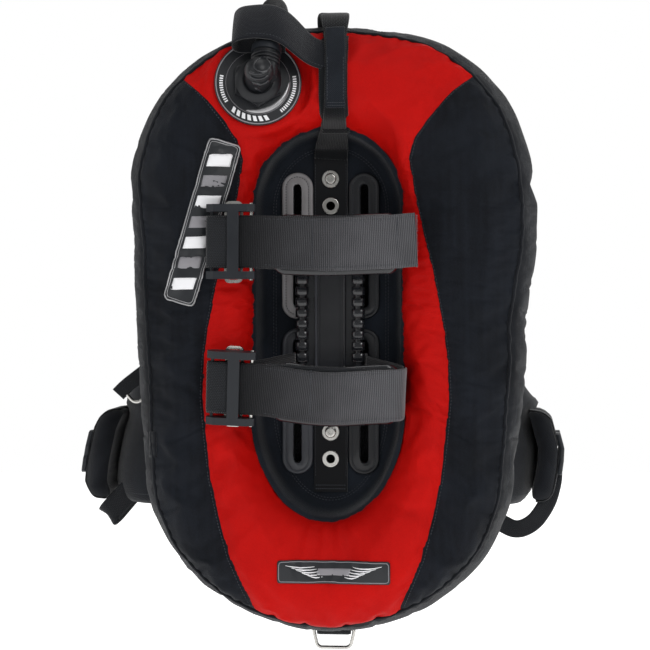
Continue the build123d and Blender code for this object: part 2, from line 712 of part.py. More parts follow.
# ---- rear dump valve, low on the wearer's side of the air cell ----
with BuildPart() as dump_valve_body:
    with BuildSketch(DUMP_PLANE.offset(-8)):
        Circle(DUMP_STEM_R)
    extrude(amount=8.3)
    with BuildSketch(DUMP_PLANE.offset(0.3)):
        Circle(30)
    extrude(amount=3)
    with BuildSketch(DUMP_PLANE.offset(3.3)):
        Circle(24)
    extrude(amount=12, taper=6)
    fillet(dump_valve_body.faces().sort_by(Axis.Y)[-1].edges(), 2)
    with BuildSketch(DUMP_PLANE.offset(-9)):
        Circle(9)
    extrude(amount=16, mode=Mode.SUBTRACT)
    with BuildSketch(DUMP_PLANE.offset(-9)):
        Circle(2.4)
    extrude(amount=40, mode=Mode.SUBTRACT)
save(dump_valve_body.part, "dump_valve_body")
with BuildPart() as dump_pull_knob:
    with BuildSketch(DUMP_PLANE.offset(-6)):
        Circle(8.4)
    extrude(amount=2.5)
    with BuildSketch(DUMP_PLANE.offset(-4)):
        Circle(2.0)
    extrude(amount=22)
    with BuildSketch(DUMP_PLANE.offset(16.5)):
        Circle(8)
    extrude(amount=12)
    fillet(dump_pull_knob.faces().sort_by(Axis.Y)[-1].edges(), 3)
save(dump_pull_knob.part, "dump_pull_knob")
dump_valve_spring = coil_spring(DUMP_PLANE.offset(2.3), 5.5, 0.6, 4.0, 2.5)
save(elbow_spring + dump_valve_spring, "valve_springs")

# ---- back pad ----
with BuildPart() as back_pad:
    with BuildSketch(on_plane(PAD_FRONT)):
        with Locations((0, HOLE_MID + 4)):
            SlotOverall(378, 2 * HOLE_R - 12, rotation=90)
    extrude(amount=-(PAD_BACK - PAD_FRONT))
    fillet(back_pad.faces().sort_by(Axis.Y)[-1].edges(), 12)
save(back_pad.part, "back_pad")

# ---- shoulder straps, chest and lower webbing ----
def strap_plane(side):
    """An upright plane that leans outwards from the backplate's top towards the chest."""
    yaw = radians(STRAP_YAW)
    return Plane(
        origin=(side * STRAP_X, STRAP_Y, 0),
        x_dir=(side * sin(yaw), cos(yaw), 0),
        z_dir=(cos(yaw), -side * sin(yaw), 0),
    )


STRAP_SIDE = [(0, -168), (0, -95), (28, -52), (66, -52), (102, -100), (106, -290)]
for side, label in ((-1, "left"), (1, "right")):
    strap = webbing(strap_plane(side), STRAP_SIDE, 24, STRAP_W, STRAP_T)
    save(strap, f"shoulder_strap_{label}")

BUCKLE_TOP = -292.0
with BuildPart() as shoulder_buckles:
    for side in (-1, 1):
        with BuildSketch(strap_plane(side)):
            with Locations((STRAP_SIDE[-1][0], BUCKLE_TOP - 23)):
                RectangleRounded(11, 44, 4)
        extrude(amount=23, both=True)
save(shoulder_buckles.part, "shoulder_buckles")

CHEST_Z = -195.0
CHEST_Y = 169.5
CHEST_HALF = 58.0
CHEST_W = 25.0
WAIST_X = {"left": 258.0, "right": 236.0}
POCKET_T = {"left": 24.0, "right": 22.0}
BELT_Y = 217.6
PAD_T = 14.0


def side_of(label):
    return -1 if label == "left" else 1


with BuildPart() as harness_webbing:
    # chest strap in front of the two shoulder straps
    add(webbing(Plane.XY.offset(CHEST_Z), [(-CHEST_HALF, CHEST_Y), (CHEST_HALF, CHEST_Y)], 0, CHEST_W, 1.8))
    # a keeper on the left strap holds the hose
    hold_x, hold_y, hold_z = -119.1, 174.2, -150.0
    hold = [
        (hold_x + 19, hold_y - 19), (hold_x - 19, hold_y - 19),
        (hold_x - 19, hold_y + 19), (hold_x + 19, hold_y + 19),
    ]
    add(webbing(Plane.XY.offset(hold_z), hold, 10, CHEST_W, 1.8, closed=True))
    for label in ("left", "right"):
        side = side_of(label)
        high = Vector(side * 90.0, 154.0, -357.0)
        low = Vector(side * (WAIST_X[label] - 52.0), 88.0, -430.0)
        run = low - high
        across = run.cross(Vector(side * 0.5, 0.85, 0.1)).normalized()
        with BuildSketch(Plane(origin=(high + low) / 2, x_dir=run, z_dir=across)):
            Rectangle(run.length, WEBBING_T)
        extrude(amount=WEBBING_W / 2, both=True)
save(harness_webbing.part, "harness_webbing")

# ---- waist pads with their weight pockets, and the pouches that slide forwards out of them ----
POCKET_BACK = 92.0
POCKET_FRONT = 186.0
POCKET_HALF = 50.0
for label in ("left", "right"):
    side = side_of(label)
    reach = WAIST_X[label]
    pad_run = [(side * 64, 54.5), (side * (reach - 62), 60), (side * (reach - 6), 104), (side * reach, 202)]
    sleeve = reach + PAD_T / 2 - 1 + POCKET_T[label] / 2
    with BuildPart() as waist_pad:
        add(webbing(Plane.XY.offset(WAIST_Z), pad_run, 34, 2 * WAIST_HALF, PAD_T))
        with BuildSketch(Plane.XZ.offset(-POCKET_BACK)):
            with Locations((side * sleeve, WAIST_Z)):
                RectangleRounded(POCKET_T[label], 2 * POCKET_HALF, 6)
        extrude(amount=POCKET_BACK - POCKET_FRONT)
        with BuildSketch(Plane.XZ.offset(-POCKET_BACK - 4)):
            with Locations((side * sleeve, WAIST_Z)):
                RectangleRounded(POCKET_T[label] - 5, 2 * POCKET_HALF - 6, 4)
        extrude(amount=POCKET_BACK - POCKET_FRONT, mode=Mode.SUBTRACT)
    save(waist_pad.part, f"waist_pad_{label}")
    with BuildPart() as weight_pouch:
        with BuildSketch(Plane.XZ.offset(-POCKET_BACK - 5)):
            with Locations((side * sleeve, WAIST_Z)):
                RectangleRounded(POCKET_T[label] - 6.4, 2 * POCKET_HALF - 7.4, 3.5)
        extrude(amount=POCKET_BACK + 5 - POCKET_FRONT)
        # the grab handle
        with BuildSketch(Plane.XZ.offset(-POCKET_FRONT)):
            with Locations((side * sleeve, WAIST_Z)):
                RectangleRounded(5, 46, 2)
        extrude(amount=-26)
    save(weight_pouch.part, f"weight_pouch_{label}")

with BuildPart() as waist_belt:
    for label in ("left", "right"):
        side = side_of(label)
        reach = WAIST_X[label]
        belt_run = [(side * (reach - 1.5), 205), (side * (reach - 48), BELT_Y), (side * 9, BELT_Y)]
        add(webbing(Plane.XY.offset(WAIST_Z), belt_run, 12, 50, WEBBING_T))
save(waist_belt.part, "waist_belt")


def side_buckle(front, height, half_z, depth, long):
    """A side-release buckle lying along X: the socket on the left and the tongue that slides out of it."""
    wall = depth / 4
    middle = Plane.XY.offset(height)
    with BuildPart() as socket:
        with BuildSketch(middle):
            with Locations((-long / 2, front + depth / 2)):
                RectangleRounded(long, depth, wall)
        extrude(amount=half_z, both=True)
        with BuildSketch(middle):
            with Locations((-long / 2 + wall * 2, front + depth / 2)):
                Rectangle(long, depth - 2 * wall)
        extrude(amount=half_z - wall, both=True, mode=Mode.SUBTRACT)
    with BuildPart() as tongue:
        with BuildSketch(middle):
            with Locations((0.5 + long / 4, front + depth / 2)):
                RectangleRounded(long / 2, depth, wall)
        extrude(amount=half_z, both=True)
        with BuildSketch(middle):
            with Locations((-long * 0.34, front + depth / 2)):
                Rectangle(long * 0.8, depth - 2 * wall - 0.8)
        extrude(amount=half_z - wall - 0.5, both=True)
    return socket.part, tongue.part


socket_part, tongue_part = side_buckle(BELT_Y + 1.6, WAIST_Z, 29.0, 12.0, 38.0)
save(socket_part, "waist_buckle_socket")
save(tongue_part, "waist_buckle_tongue")
socket_part, tongue_part = side_buckle(CHEST_Y + 1.3, CHEST_Z, 16.0, 8.0, 26.0)
save(socket_part, "chest_buckle_socket")
save(tongue_part, "chest_buckle_tongue")

# ---- crotch tab and the accessory rings ----
CROTCH_W = 38.0
CROTCH_BAR = (41.5, -680.0)
RING_WIRE = 2.0
RING_TAB_HOLE = RING_WIRE + 0.5
CROTCH_SIDE = [(13.6, -470), (13.6, -535), (37.5, -575), (37.5, -685.5), (45.5, -685.5), (45.5, -648)]
save(webbing(Plane.YZ, CROTCH_SIDE, 3.6, CROTCH_W, WEBBING_T), "crotch_tab")


def d_ring(plane, half_width, drop, wire_r):
    """A wire ring: a straight bar along the plane's x and a rounded bow below it."""
    bar_corner = 1.6 * wire_r
    with BuildPart() as ring:
        with BuildLine(plane):
            path = FilletPolyline(
                (-half_width, 0), (half_width, 0), (half_width * 0.78, -drop), (-half_width * 0.78, -drop),
                radius=[bar_corner, bar_corner, drop * 0.32, drop * 0.32],
                close=True,
            )
        with BuildSketch(Plane(origin=path @ 0, z_dir=path % 0)):
            Circle(wire_r)
        sweep(path=path)
    return ring.part


crotch_ring_plane = Plane(origin=(0, *CROTCH_BAR), x_dir=(1, 0, 0), z_dir=(0, -1, 0))
save(d_ring(crotch_ring_plane, 23.5, 21.0, RING_WIRE), "crotch_d_ring")
RING_Z = -243.0
RING_OUT = 10.5
with BuildPart() as ring_tabs:
    for side in (-1, 1):
        with BuildSketch(strap_plane(side)):
            with Locations((STRAP_SIDE[-1][0] - 1 + RING_OUT, RING_Z)):
                RectangleRounded(9, 10, 3)
                Circle(RING_TAB_HOLE, mode=Mode.SUBTRACT)
        extrude(amount=11, both=True)
WAIST_RING = Plane(origin=(-228, 64, -398), x_dir=(0.87, 0, 0.5), z_dir=(0, -1, 0))
with BuildPart() as waist_tab:
    with BuildSketch(Plane(origin=WAIST_RING.origin, x_dir=(0, 1, 0), z_dir=WAIST_RING.x_dir)):
        RectangleRounded(9, 9, 3)
        Circle(RING_TAB_HOLE, mode=Mode.SUBTRACT)
    extrude(amount=13, both=True)
save(ring_tabs.part + waist_tab.part, "ring_tabs")
for label in ("left", "right"):
    frame = strap_plane(side_of(label))
    bar = frame.from_local_coords(Vector(STRAP_SIDE[-1][0] - 1 + RING_OUT, RING_Z, 0))
    ring_plane = Plane(origin=bar, x_dir=frame.z_dir, z_dir=-frame.x_dir)
    save(d_ring(ring_plane, 21.0, 30.0, RING_WIRE), f"shoulder_d_ring_{label}")
save(d_ring(WAIST_RING, 22.0, 26.0, RING_WIRE), "waist_d_ring")
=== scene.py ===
"""Wing-style diving buoyancy vest, tank side to the camera: looks, soft parts and studio round the frame."""
from functools import partial
from math import atan2, cos, exp, hypot, pi, radians, sin

import bmesh
import bpy
from mathutils import Matrix, Vector, noise
from mathutils.bvhtree import BVHTree


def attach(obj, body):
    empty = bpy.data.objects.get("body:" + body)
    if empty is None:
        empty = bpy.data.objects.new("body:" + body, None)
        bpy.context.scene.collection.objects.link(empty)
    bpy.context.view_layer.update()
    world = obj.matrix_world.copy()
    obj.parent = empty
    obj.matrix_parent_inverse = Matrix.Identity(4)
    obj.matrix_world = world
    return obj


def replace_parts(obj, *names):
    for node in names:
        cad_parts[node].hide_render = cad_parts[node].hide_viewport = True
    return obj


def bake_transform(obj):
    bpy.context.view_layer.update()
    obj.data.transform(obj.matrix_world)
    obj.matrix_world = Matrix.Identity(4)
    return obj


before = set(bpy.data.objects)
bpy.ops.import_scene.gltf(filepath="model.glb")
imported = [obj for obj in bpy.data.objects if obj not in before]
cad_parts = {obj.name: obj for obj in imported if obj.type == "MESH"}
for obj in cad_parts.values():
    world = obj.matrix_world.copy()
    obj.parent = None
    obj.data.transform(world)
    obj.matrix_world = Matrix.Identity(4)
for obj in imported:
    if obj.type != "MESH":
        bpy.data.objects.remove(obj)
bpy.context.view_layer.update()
MM = 0.001

# ---------------------------------------------------------------- camera
CAMERA_AT = Vector((0.2200, -2.5897, -0.2921))
AIM_AT = Vector((-0.0066, 0.0, -0.3375))
camera_data = bpy.data.cameras.new("camera")
camera_data.lens = 130.2
camera_data.sensor_width = 36.0
camera_data.clip_end = 50
camera = bpy.data.objects.new("camera", camera_data)
camera.location = CAMERA_AT
camera.rotation_euler = (AIM_AT - CAMERA_AT).to_track_quat("-Z", "Y").to_euler()
bpy.context.collection.objects.link(camera)
bpy.context.scene.camera = camera
bpy.context.scene.view_settings.view_transform = "Standard"


# ---------------------------------------------------------------- materials
CLOTH_SPECULAR, WEBBING_SPECULAR, PLASTIC_SPECULAR = 0.08, 0.12, 0.3


def node_material(name, color, rough, metal=0.0, sheen=0.0, coat=0.0):
    """A principled material and the handles its detail is wired to."""
    mat = bpy.data.materials.new(name)
    mat.use_nodes = True
    tree = mat.node_tree
    shader = tree.nodes["Principled BSDF"]
    shader.inputs["Base Color"].default_value = (*color, 1)
    shader.inputs["Roughness"].default_value = rough
    shader.inputs["Metallic"].default_value = metal
    shader.inputs["Sheen Weight"].default_value = sheen
    shader.inputs["Sheen Roughness"].default_value = 0.4
    shader.inputs["Coat Weight"].default_value = coat
    return mat, tree, shader


def add_node(tree, kind, **values):
    node = tree.nodes.new(kind)
    for key, value in values.items():
        if key in node.inputs:
            node.inputs[key].default_value = value
        else:
            setattr(node, key, value)
    return node


def math_node(tree, operation, a, b=None):
    node = tree.nodes.new("ShaderNodeMath")
    node.operation = operation
    for socket, value in zip(node.inputs, (a, b)):
        if value is None:
            continue
        if isinstance(value, (int, float)):
            socket.default_value = value
        else:
            tree.links.new(value, socket)
    return node.outputs[0]


def coordinates(tree, from_uv=False):
    coord = tree.nodes.new("ShaderNodeTexCoord")
    return coord.outputs["UV" if from_uv else "Object"]


def noise_of(tree, vector, scale, detail=3.0, rough=0.55):
    node = add_node(tree, "ShaderNodeTexNoise", Scale=scale, Detail=detail, Roughness=rough)
    tree.links.new(vector, node.inputs["Vector"])
    return node.outputs["Fac"]


def ramp(tree, value, stops):
    node = tree.nodes.new("ShaderNodeValToRGB")
    elements = node.color_ramp.elements
    for element, (place, shade) in zip(elements, stops[:2]):
        element.position = place
        element.color = (*shade, 1)
    for place, shade in stops[2:]:
        elements.new(place).color = (*shade, 1)
    tree.links.new(value, node.inputs[0])
    return node.outputs[0]


def bump_into(tree, shader, height, distance, strength):
    node = add_node(tree, "ShaderNodeBump", Strength=strength, Distance=distance)
    tree.links.new(height, node.inputs["Height"])
    tree.links.new(node.outputs[0], shader.inputs["Normal"])


def stretched_noise(tree, vector, scale):
    """Noise drawn out into streaks by an uneven scale."""
    stretched = add_node(tree, "ShaderNodeMapping")
    stretched.inputs["Scale"].default_value = scale
    tree.links.new(vector, stretched.inputs["Vector"])
    return noise_of(tree, stretched.outputs[0], 1.0, 2)


def uneven_gloss(tree, shader, pattern, share, rough):
    """Roughness that follows a pattern, from rough upwards."""
    tree.links.new(math_node(tree, "ADD", math_node(tree, "MULTIPLY", pattern, share), rough),
                   shader.inputs["Roughness"])


def cloth_material(name, dark, light, rough, thread, sheen=0.15, from_uv=False, depth=0.00025, streak=0.0):
    """Woven cloth: crossing threads of the given pitch in metres, with blotchy, grainy or streaked colour."""
    mat, tree, shader = node_material(name, light, rough, sheen=sheen)
    calc = partial(math_node, tree)
    shader.inputs["Specular IOR Level"].default_value = CLOTH_SPECULAR
    vector = coordinates(tree, from_uv)
    split = tree.nodes.new("ShaderNodeSeparateXYZ")
    tree.links.new(vector, split.inputs[0])
    across = calc("SINE", calc("MULTIPLY", split.outputs[0], 2 * pi / thread))
    other = split.outputs[1] if from_uv else calc("ADD", split.outputs[2], split.outputs[1])
    along = calc("SINE", calc("MULTIPLY", other, 2 * pi / thread))
    weave = calc("MULTIPLY", across, along)
    blotch = noise_of(tree, vector, 14, 5, 0.6)
    fine = noise_of(tree, vector, 700, 2)
    mix = calc("ADD", calc("MULTIPLY", weave, 0.10), blotch)
    mix = calc("ADD", mix, calc("MULTIPLY", calc("SUBTRACT", fine, 0.5), 0.5))
    if streak:
        lines = stretched_noise(tree, vector, (160, 160, 9))
        mix = calc("ADD", mix, calc("MULTIPLY", calc("SUBTRACT", lines, 0.5), streak))
    tree.links.new(ramp(tree, mix, [(0.25, dark), (0.75, light)]), shader.inputs["Base Color"])
    bump_into(tree, shader, calc("ADD", weave, calc("MULTIPLY", fine, 1.6)), depth, 0.55)
    uneven_gloss(tree, shader, blotch, 0.2, rough - 0.1)
    return mat


def webbing_material(name, dark, light, rough=0.62, pitch=0.0024, sheen=0.3, fade=None, ribs=0.0):
    """Heavy webbing: offset rows of raised yarns along the strap; fade adds painted shade, darkening the colour
    towards one end of it.
    """
    mat, tree, shader = node_material(name, light, rough, sheen=sheen)
    calc = partial(math_node, tree)
    shader.inputs["Specular IOR Level"].default_value = WEBBING_SPECULAR
    vector = coordinates(tree, True)
    split = tree.nodes.new("ShaderNodeSeparateXYZ")
    tree.links.new(vector, split.inputs[0])

    def humps(value):
        """A row of rounded humps, one for each whole step of the value."""
        return calc("ABSOLUTE", calc("SINE", calc("MULTIPLY", value, pi)))

    row = calc("DIVIDE", split.outputs[1], pitch * 0.75)
    odd = calc("MULTIPLY", calc("MODULO", calc("FLOOR", row), 2.0), 0.5)
    step = calc("ADD", calc("DIVIDE", split.outputs[0], pitch), odd)
    bead = calc("MULTIPLY", humps(step), humps(row))
    if ribs:
        # straight ribs across the strap, broken by the rows
        rib = calc("POWER", humps(calc("DIVIDE", split.outputs[0], pitch * 0.82)), 1.5)
        bead = calc("ADD", calc("MULTIPLY", bead, 1 - ribs), calc("MULTIPLY", rib, ribs))
    blotch = noise_of(tree, vector, 26, 4, 0.6)
    fuzz = noise_of(tree, vector, 1300, 2)
    mix = calc("ADD", calc("MULTIPLY", bead, 0.75), calc("MULTIPLY", blotch, 0.35))
    mix = calc("ADD", mix, calc("MULTIPLY", calc("SUBTRACT", fuzz, 0.5), 0.5))
    # painted shade: the colour is scaled from full at x = end down to nothing at x = start, so the strap darkens
    # towards its low-x end
    if fade:
        start, end = fade
        place = add_node(tree, "ShaderNodeMapRange")
        place.inputs["From Min"].default_value = start
        place.inputs["From Max"].default_value = end
        axes = tree.nodes.new("ShaderNodeSeparateXYZ")
        tree.links.new(coordinates(tree), axes.inputs[0])
        tree.links.new(axes.outputs[0], place.inputs[0])
        mix = calc("MULTIPLY", mix, place.outputs[0])
    tree.links.new(ramp(tree, mix, [(0.1, dark), (0.95, light)]), shader.inputs["Base Color"])
    bump_into(tree, shader, calc("ADD", bead, calc("MULTIPLY", fuzz, 0.5)), 0.0006, 0.8)
    return mat


def plastic_material(name, color, rough, coat=0.0, grain=1400, depth=0.00006, wear=1.6):
    """Moulded plastic: fine spark-eroded grain, uneven gloss and slightly paler scuffs."""
    mat, tree, shader = node_material(name, color, rough, coat=coat)
    shader.inputs["Specular IOR Level"].default_value = PLASTIC_SPECULAR
    vector = coordinates(tree)
    fine = noise_of(tree, vector, grain, 2)
    patches = noise_of(tree, vector, 22, 6, 0.65)
    scuffed = tuple(min(1.0, c * wear + 0.004) for c in color)
    tree.links.new(ramp(tree, patches, [(0.35, color), (0.85, scuffed)]), shader.inputs["Base Color"])
    uneven_gloss(tree, shader, patches, 0.3, rough - 0.14)
    bump_into(tree, shader, fine, depth, 0.6)
    return mat


def metal_material(name, color, rough):
    """Brushed steel with faint scratches and smudges."""
    mat, tree, shader = node_material(name, color, rough, metal=1.0)
    vector = coordinates(tree)
    lines = stretched_noise(tree, vector, (2600, 160, 160))
    smudge = noise_of(tree, vector, 60, 4)
    tree.links.new(ramp(tree, smudge, [(0.3, tuple(c * 0.72 for c in color)), (0.7, color)]),
                   shader.inputs["Base Color"])
    uneven_gloss(tree, shader, smudge, 0.22, rough - 0.1)
    bump_into(tree, shader, lines, 0.00003, 0.5)
    return mat


RED = cloth_material("red_nylon", (0.36, 0.0016, 0.0010), (0.49, 0.0036, 0.0020), 0.55, 0.0009, 0.0,
                     depth=0.00012)
SIDE_BLACK = cloth_material("black_nylon", (0.0034, 0.0042, 0.0060), (0.0095, 0.0118, 0.0168), 0.62, 0.0011,
                            0.08, streak=0.5)
EDGE_BLACK = cloth_material("edge_nylon", (0.0045, 0.0052, 0.0068), (0.0125, 0.0140, 0.0175), 0.7, 0.0014,
                            0.15)
PANEL_BLACK = cloth_material("panel_cloth", (0.0058, 0.0075, 0.0105), (0.0155, 0.0200, 0.0280), 0.66, 0.0016,
                             0.12)
PAD_BLACK = cloth_material("pad_cloth", (0.0045, 0.0050, 0.0065), (0.013, 0.015, 0.019), 0.72, 0.0018, 0.2,
                           depth=0.0004)
MESH_BLACK = cloth_material("spacer_mesh", (0.004, 0.004, 0.005), (0.020, 0.021, 0.023), 0.8, 0.0036, 0.25,
                            depth=0.0012)
WEBBING = webbing_material("black_webbing", (0.0045, 0.0050, 0.0060), (0.022, 0.024, 0.028))
# the band's fade is painted shade: darkest at its left end (x = -0.112 m), full colour from x = 0.055 m
BAND_WEBBING = webbing_material("band_webbing", (0.0034, 0.0037, 0.0046), (0.128, 0.128, 0.138), 0.6, 0.0024,
                                fade=(-0.112, 0.055), ribs=0.75)
KEEPER_CLOTH = webbing_material("keeper_cloth", (0.0050, 0.0058, 0.0080), (0.0150, 0.0165, 0.0210), 0.75,
                                0.0016, 0.2)
HANDLE_WEBBING = webbing_material("handle_webbing_look", (0.0018, 0.0024, 0.0032), (0.0052, 0.0066, 0.0084))
GRIP_CLOTH = cloth_material("grip_cloth", (0.004, 0.005, 0.007), (0.020, 0.024, 0.031), 0.8, 0.0022, 0.2,
                            from_uv=True, depth=0.0006)
THREAD = plastic_material("thread", (0.030, 0.033, 0.040), 0.6)
PALE_THREAD = plastic_material("pale_thread", (0.09, 0.095, 0.105), 0.55)
TRIM = plastic_material("trim_rubber", (0.0045, 0.0055, 0.0075), 0.42, 0.15, wear=1.8)
# paler copies of the trim rubber, used as painted reflection and highlight on the left slot surrounds and the left
# cradle rail
TRIM_PAINTED_HIGHLIGHT = plastic_material("trim_mid", (0.030, 0.033, 0.040), 0.42, 0.2, wear=1.5)
TRIM_PAINTED_REFLECTION = plastic_material("trim_pale", (0.22, 0.215, 0.22), 0.42, 0.2, wear=1.25)
PLATE = plastic_material("plate_plastic_look", (0.008, 0.009, 0.011), 0.45)
BUCKLE = plastic_material("buckle_plastic_look", (0.0070, 0.0088, 0.0120), 0.5, 0.05, wear=1.5)
CRADLE = plastic_material("cradle_plastic_look", (0.010, 0.011, 0.0135), 0.3, 0.3, wear=1.6)
VALVE_GLOSS = plastic_material("valve_gloss_look", (0.0065, 0.0075, 0.0100), 0.26, 0.45, wear=1.6)
CRADLE_GLOSS = plastic_material("cradle_gloss_look", (0.0095, 0.0105, 0.013), 0.22, 0.6, wear=1.8)
VALVE = plastic_material("valve_plastic_look", (0.0035, 0.0042, 0.0058), 0.44, 0.08, wear=1.7)
BUTTON = plastic_material("button_plastic_look", (0.16, 0.17, 0.18), 0.4)
RUBBER_GLOSS = plastic_material("plate_rubber_look", (0.0070, 0.0080, 0.0100), 0.24, 0.5, wear=1.6)
RUBBER = plastic_material("rubber_look", (0.0085, 0.0095, 0.0115), 0.38, 0.25, wear=1.6)
HOSE = plastic_material("hose_rubber_look", (0.0065, 0.0070, 0.0080), 0.5, 0.1, wear=1.6)
STEEL = metal_material("steel_look", (0.62, 0.61, 0.58), 0.26)
# silver metal: the printed rims of the side patch, and a painted highlight on the valve nut
SILVER = metal_material("silver_print", (0.42, 0.42, 0.43), 0.42)
WHITE_PRINT = plastic_material("white_print", (0.80, 0.80, 0.82), 0.45, wear=1.0)
GREY_PRINT = plastic_material("grey_print", (0.22, 0.215, 0.23), 0.45, wear=1.15)
PATCH_BLACK = plastic_material("patch_black", (0.010, 0.0115, 0.014), 0.42, 0.1)
FILM = plastic_material("bladder_film_look", (0.10, 0.11, 0.12), 0.35)

SLOT_LOOKS = {
    "wing_fabric": EDGE_BLACK, "black_fabric": PANEL_BLACK, "webbing": WEBBING, "pad_fabric": PAD_BLACK,
    "patch": PATCH_BLACK, "bladder_film": FILM, "trim_plastic": TRIM, "plate_plastic": PLATE,
    "buckle_plastic": BUCKLE, "valve_plastic": VALVE, "button_plastic": BUTTON, "rubber": RUBBER,
    "hose_rubber": HOSE, "steel": STEEL,
}
NODE_LOOKS = {"tank_cradle": CRADLE}
for node_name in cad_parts:
    node_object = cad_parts[node_name]
    look = NODE_LOOKS.get(node_name)
    for place in node_object.material_slots:
        base = place.material.name.split(".")[0] if place.material else ""
        place.material = look or SLOT_LOOKS.get(base, BUCKLE)


# ---------------------------------------------------------------- geometry helpers
def piece(name, verts, faces, material, body="root", uvs=None, smooth=True, scale=MM):
    """A new mesh object in the row frame; verts are in millimetres."""
    mesh = bpy.data.meshes.new(name)
    mesh.from_pydata([Vector(v) * scale for v in verts], [], faces)
    materials = material if isinstance(material, (list, tuple)) else [material]
    for entry in materials:
        mesh.materials.append(entry)
    if uvs is not None:
        layer = mesh.uv_layers.new(name="UVMap")
        for loop in mesh.loops:
            layer.data[loop.index].uv = uvs[loop.vertex_index]
    if smooth:
        mesh.polygons.foreach_set("use_smooth", [True] * len(mesh.polygons))
    mesh.update()
    obj = bpy.data.objects.new(name, mesh)
    bpy.context.collection.objects.link(obj)
    if body:
        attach(obj, body)
    return obj


def quads(rows, across, wrap_rows=False, wrap_across=True, flip=False, base=0):
    """Faces between neighbouring rows of vertices that are listed row by row from base on."""
    faces = []
    for r in range(rows if wrap_rows else rows - 1):
        here, above = base + r * across, base + (r + 1) % rows * across
        for j in range(across if wrap_across else across - 1):
            k = (j + 1) % across
            quad = (here + j, here + k, above + k, above + j)
            faces.append((quad[0], quad[3], quad[2], quad[1]) if flip else quad)
    return faces


def caps(rows, across, flip=False, base=0):
    """The two end faces of a loft whose rows are closed rings."""
    first = tuple(base + j for j in range(across))
    last = tuple(base + (rows - 1) * across + j for j in range(across))
    return [first, last[::-1]] if flip else [first[::-1], last]


def side_name(side):
    return "left" if side < 0 else "right"


def smoothstep(edge0, edge1, x):
    t = max(0.0, min(1.0, (x - edge0) / (edge1 - edge0)))
    return t * t * (3 - 2 * t)


def rounded(points, radius, step=3.0):
    """Points along a polyline with its corners rounded, evenly dense."""
    points = [Vector(p) for p in points]
    out = [points[0]]
    for before, corner, after in zip(points, points[1:], points[2:]):
        back, ahead = before - corner, after - corner
        cut = min(radius, 0.49 * back.length, 0.49 * ahead.length)
        start, end = corner + back.normalized() * cut, corner + ahead.normalized() * cut
        for i in range(9):
            t = i / 8
            out.append(start * (1 - t) ** 2 + corner * 2 * t * (1 - t) + end * t * t)
    out.append(points[-1])
    return resample(out, step)


def resample(points, step):
    """The same line, with points about one step apart."""
    lengths = [0.0]
    for a, b in zip(points, points[1:]):
        lengths.append(lengths[-1] + (b - a).length)
    count = max(2, round(lengths[-1] / step) + 1)
    out, index = [], 0
    for i in range(count):
        want = lengths[-1] * i / (count - 1)
        while index < len(points) - 2 and lengths[index + 1] < want:
            index += 1
        span = lengths[index + 1] - lengths[index] or 1.0
        out.append(points[index].lerp(points[index + 1], (want - lengths[index]) / span))
    return out


def tangents(points, closed=False):
    count = len(points)
    out = []
    for i in range(count):
        a = points[i - 1] if (i > 0 or closed) else points[0]
        b = points[(i + 1) % count] if (i < count - 1 or closed) else points[-1]
        out.append((b - a).normalized())
    return out


def ribbon(name, points, side, width, thick, material, slot, body="root", wave=0.0, cells=12, seed=0.0):
    """A strap with rounded edges. side is the across direction; width is a number or one per point."""
    directions = tangents(points)
    half_profile = []
    for i in range(cells + 1):
        a = -1 + 2 * i / cells
        crown = 1 - 0.55 * smoothstep(0.90, 1.0, abs(a))
        half_profile.append((a, crown))
    profile = [(a, c) for a, c in half_profile] + [(a, -c) for a, c in reversed(half_profile)]
    ring = len(profile)
    verts, uvs = [], []
    travelled = 0.0
    for i, (point, direction) in enumerate(zip(points, directions)):
        if i:
            travelled += (point - points[i - 1]).length
        across = side[i] if isinstance(side, list) else Vector(side)
        across = (across - direction * across.dot(direction)).normalized()
        normal = direction.cross(across)
        w = width[i] if isinstance(width, list) else width
        for a, c in profile:
            lift = wave * noise.noise(Vector((travelled * 0.02 + seed, a * 1.3, seed))) if wave else 0.0
            verts.append(point + across * (a * w / 2) + normal * (c * thick / 2 + lift))
            uvs.append((travelled * MM, a * w / 2 * MM + (0.5 if c < 0 else 0)))
    faces = quads(len(points), ring, flip=True)
    last = (len(points) - 1) * ring
    for j in range(cells):
        faces.append((j, j + 1, ring - 2 - j, ring - 1 - j))
        faces.append((last + j, last + ring - 1 - j, last + ring - 2 - j, last + j + 1))
    return piece(name, verts, faces, material, body, uvs)


def round_rings(points, directions, radii, normal, sides):
    """Vertices of a round section carried along a line, turned as little as possible."""
    verts = []
    for point, direction, radius in zip(points, directions, radii):
        normal = (normal - direction * normal.dot(direction)).normalized()
        other = direction.cross(normal)
        for j in range(sides):
            angle = 2 * pi * j / sides
            verts.append(point + (normal * cos(angle) + other * sin(angle)) * radius)
    return verts


def tube(name, points, radius, material, body="root", closed=False, sides=10):
    """A round bar, cord or bead along points in millimetres."""
    points = [Vector(p) for p in points]
    directions = tangents(points, closed)
    start = directions[0].orthogonal().normalized()
    verts = round_rings(points, directions, [radius] * len(points), start, sides)
    faces = quads(len(points), sides, wrap_rows=closed)
    if not closed:
        faces += caps(len(points), sides)
    return piece(name, verts, faces, material, body)


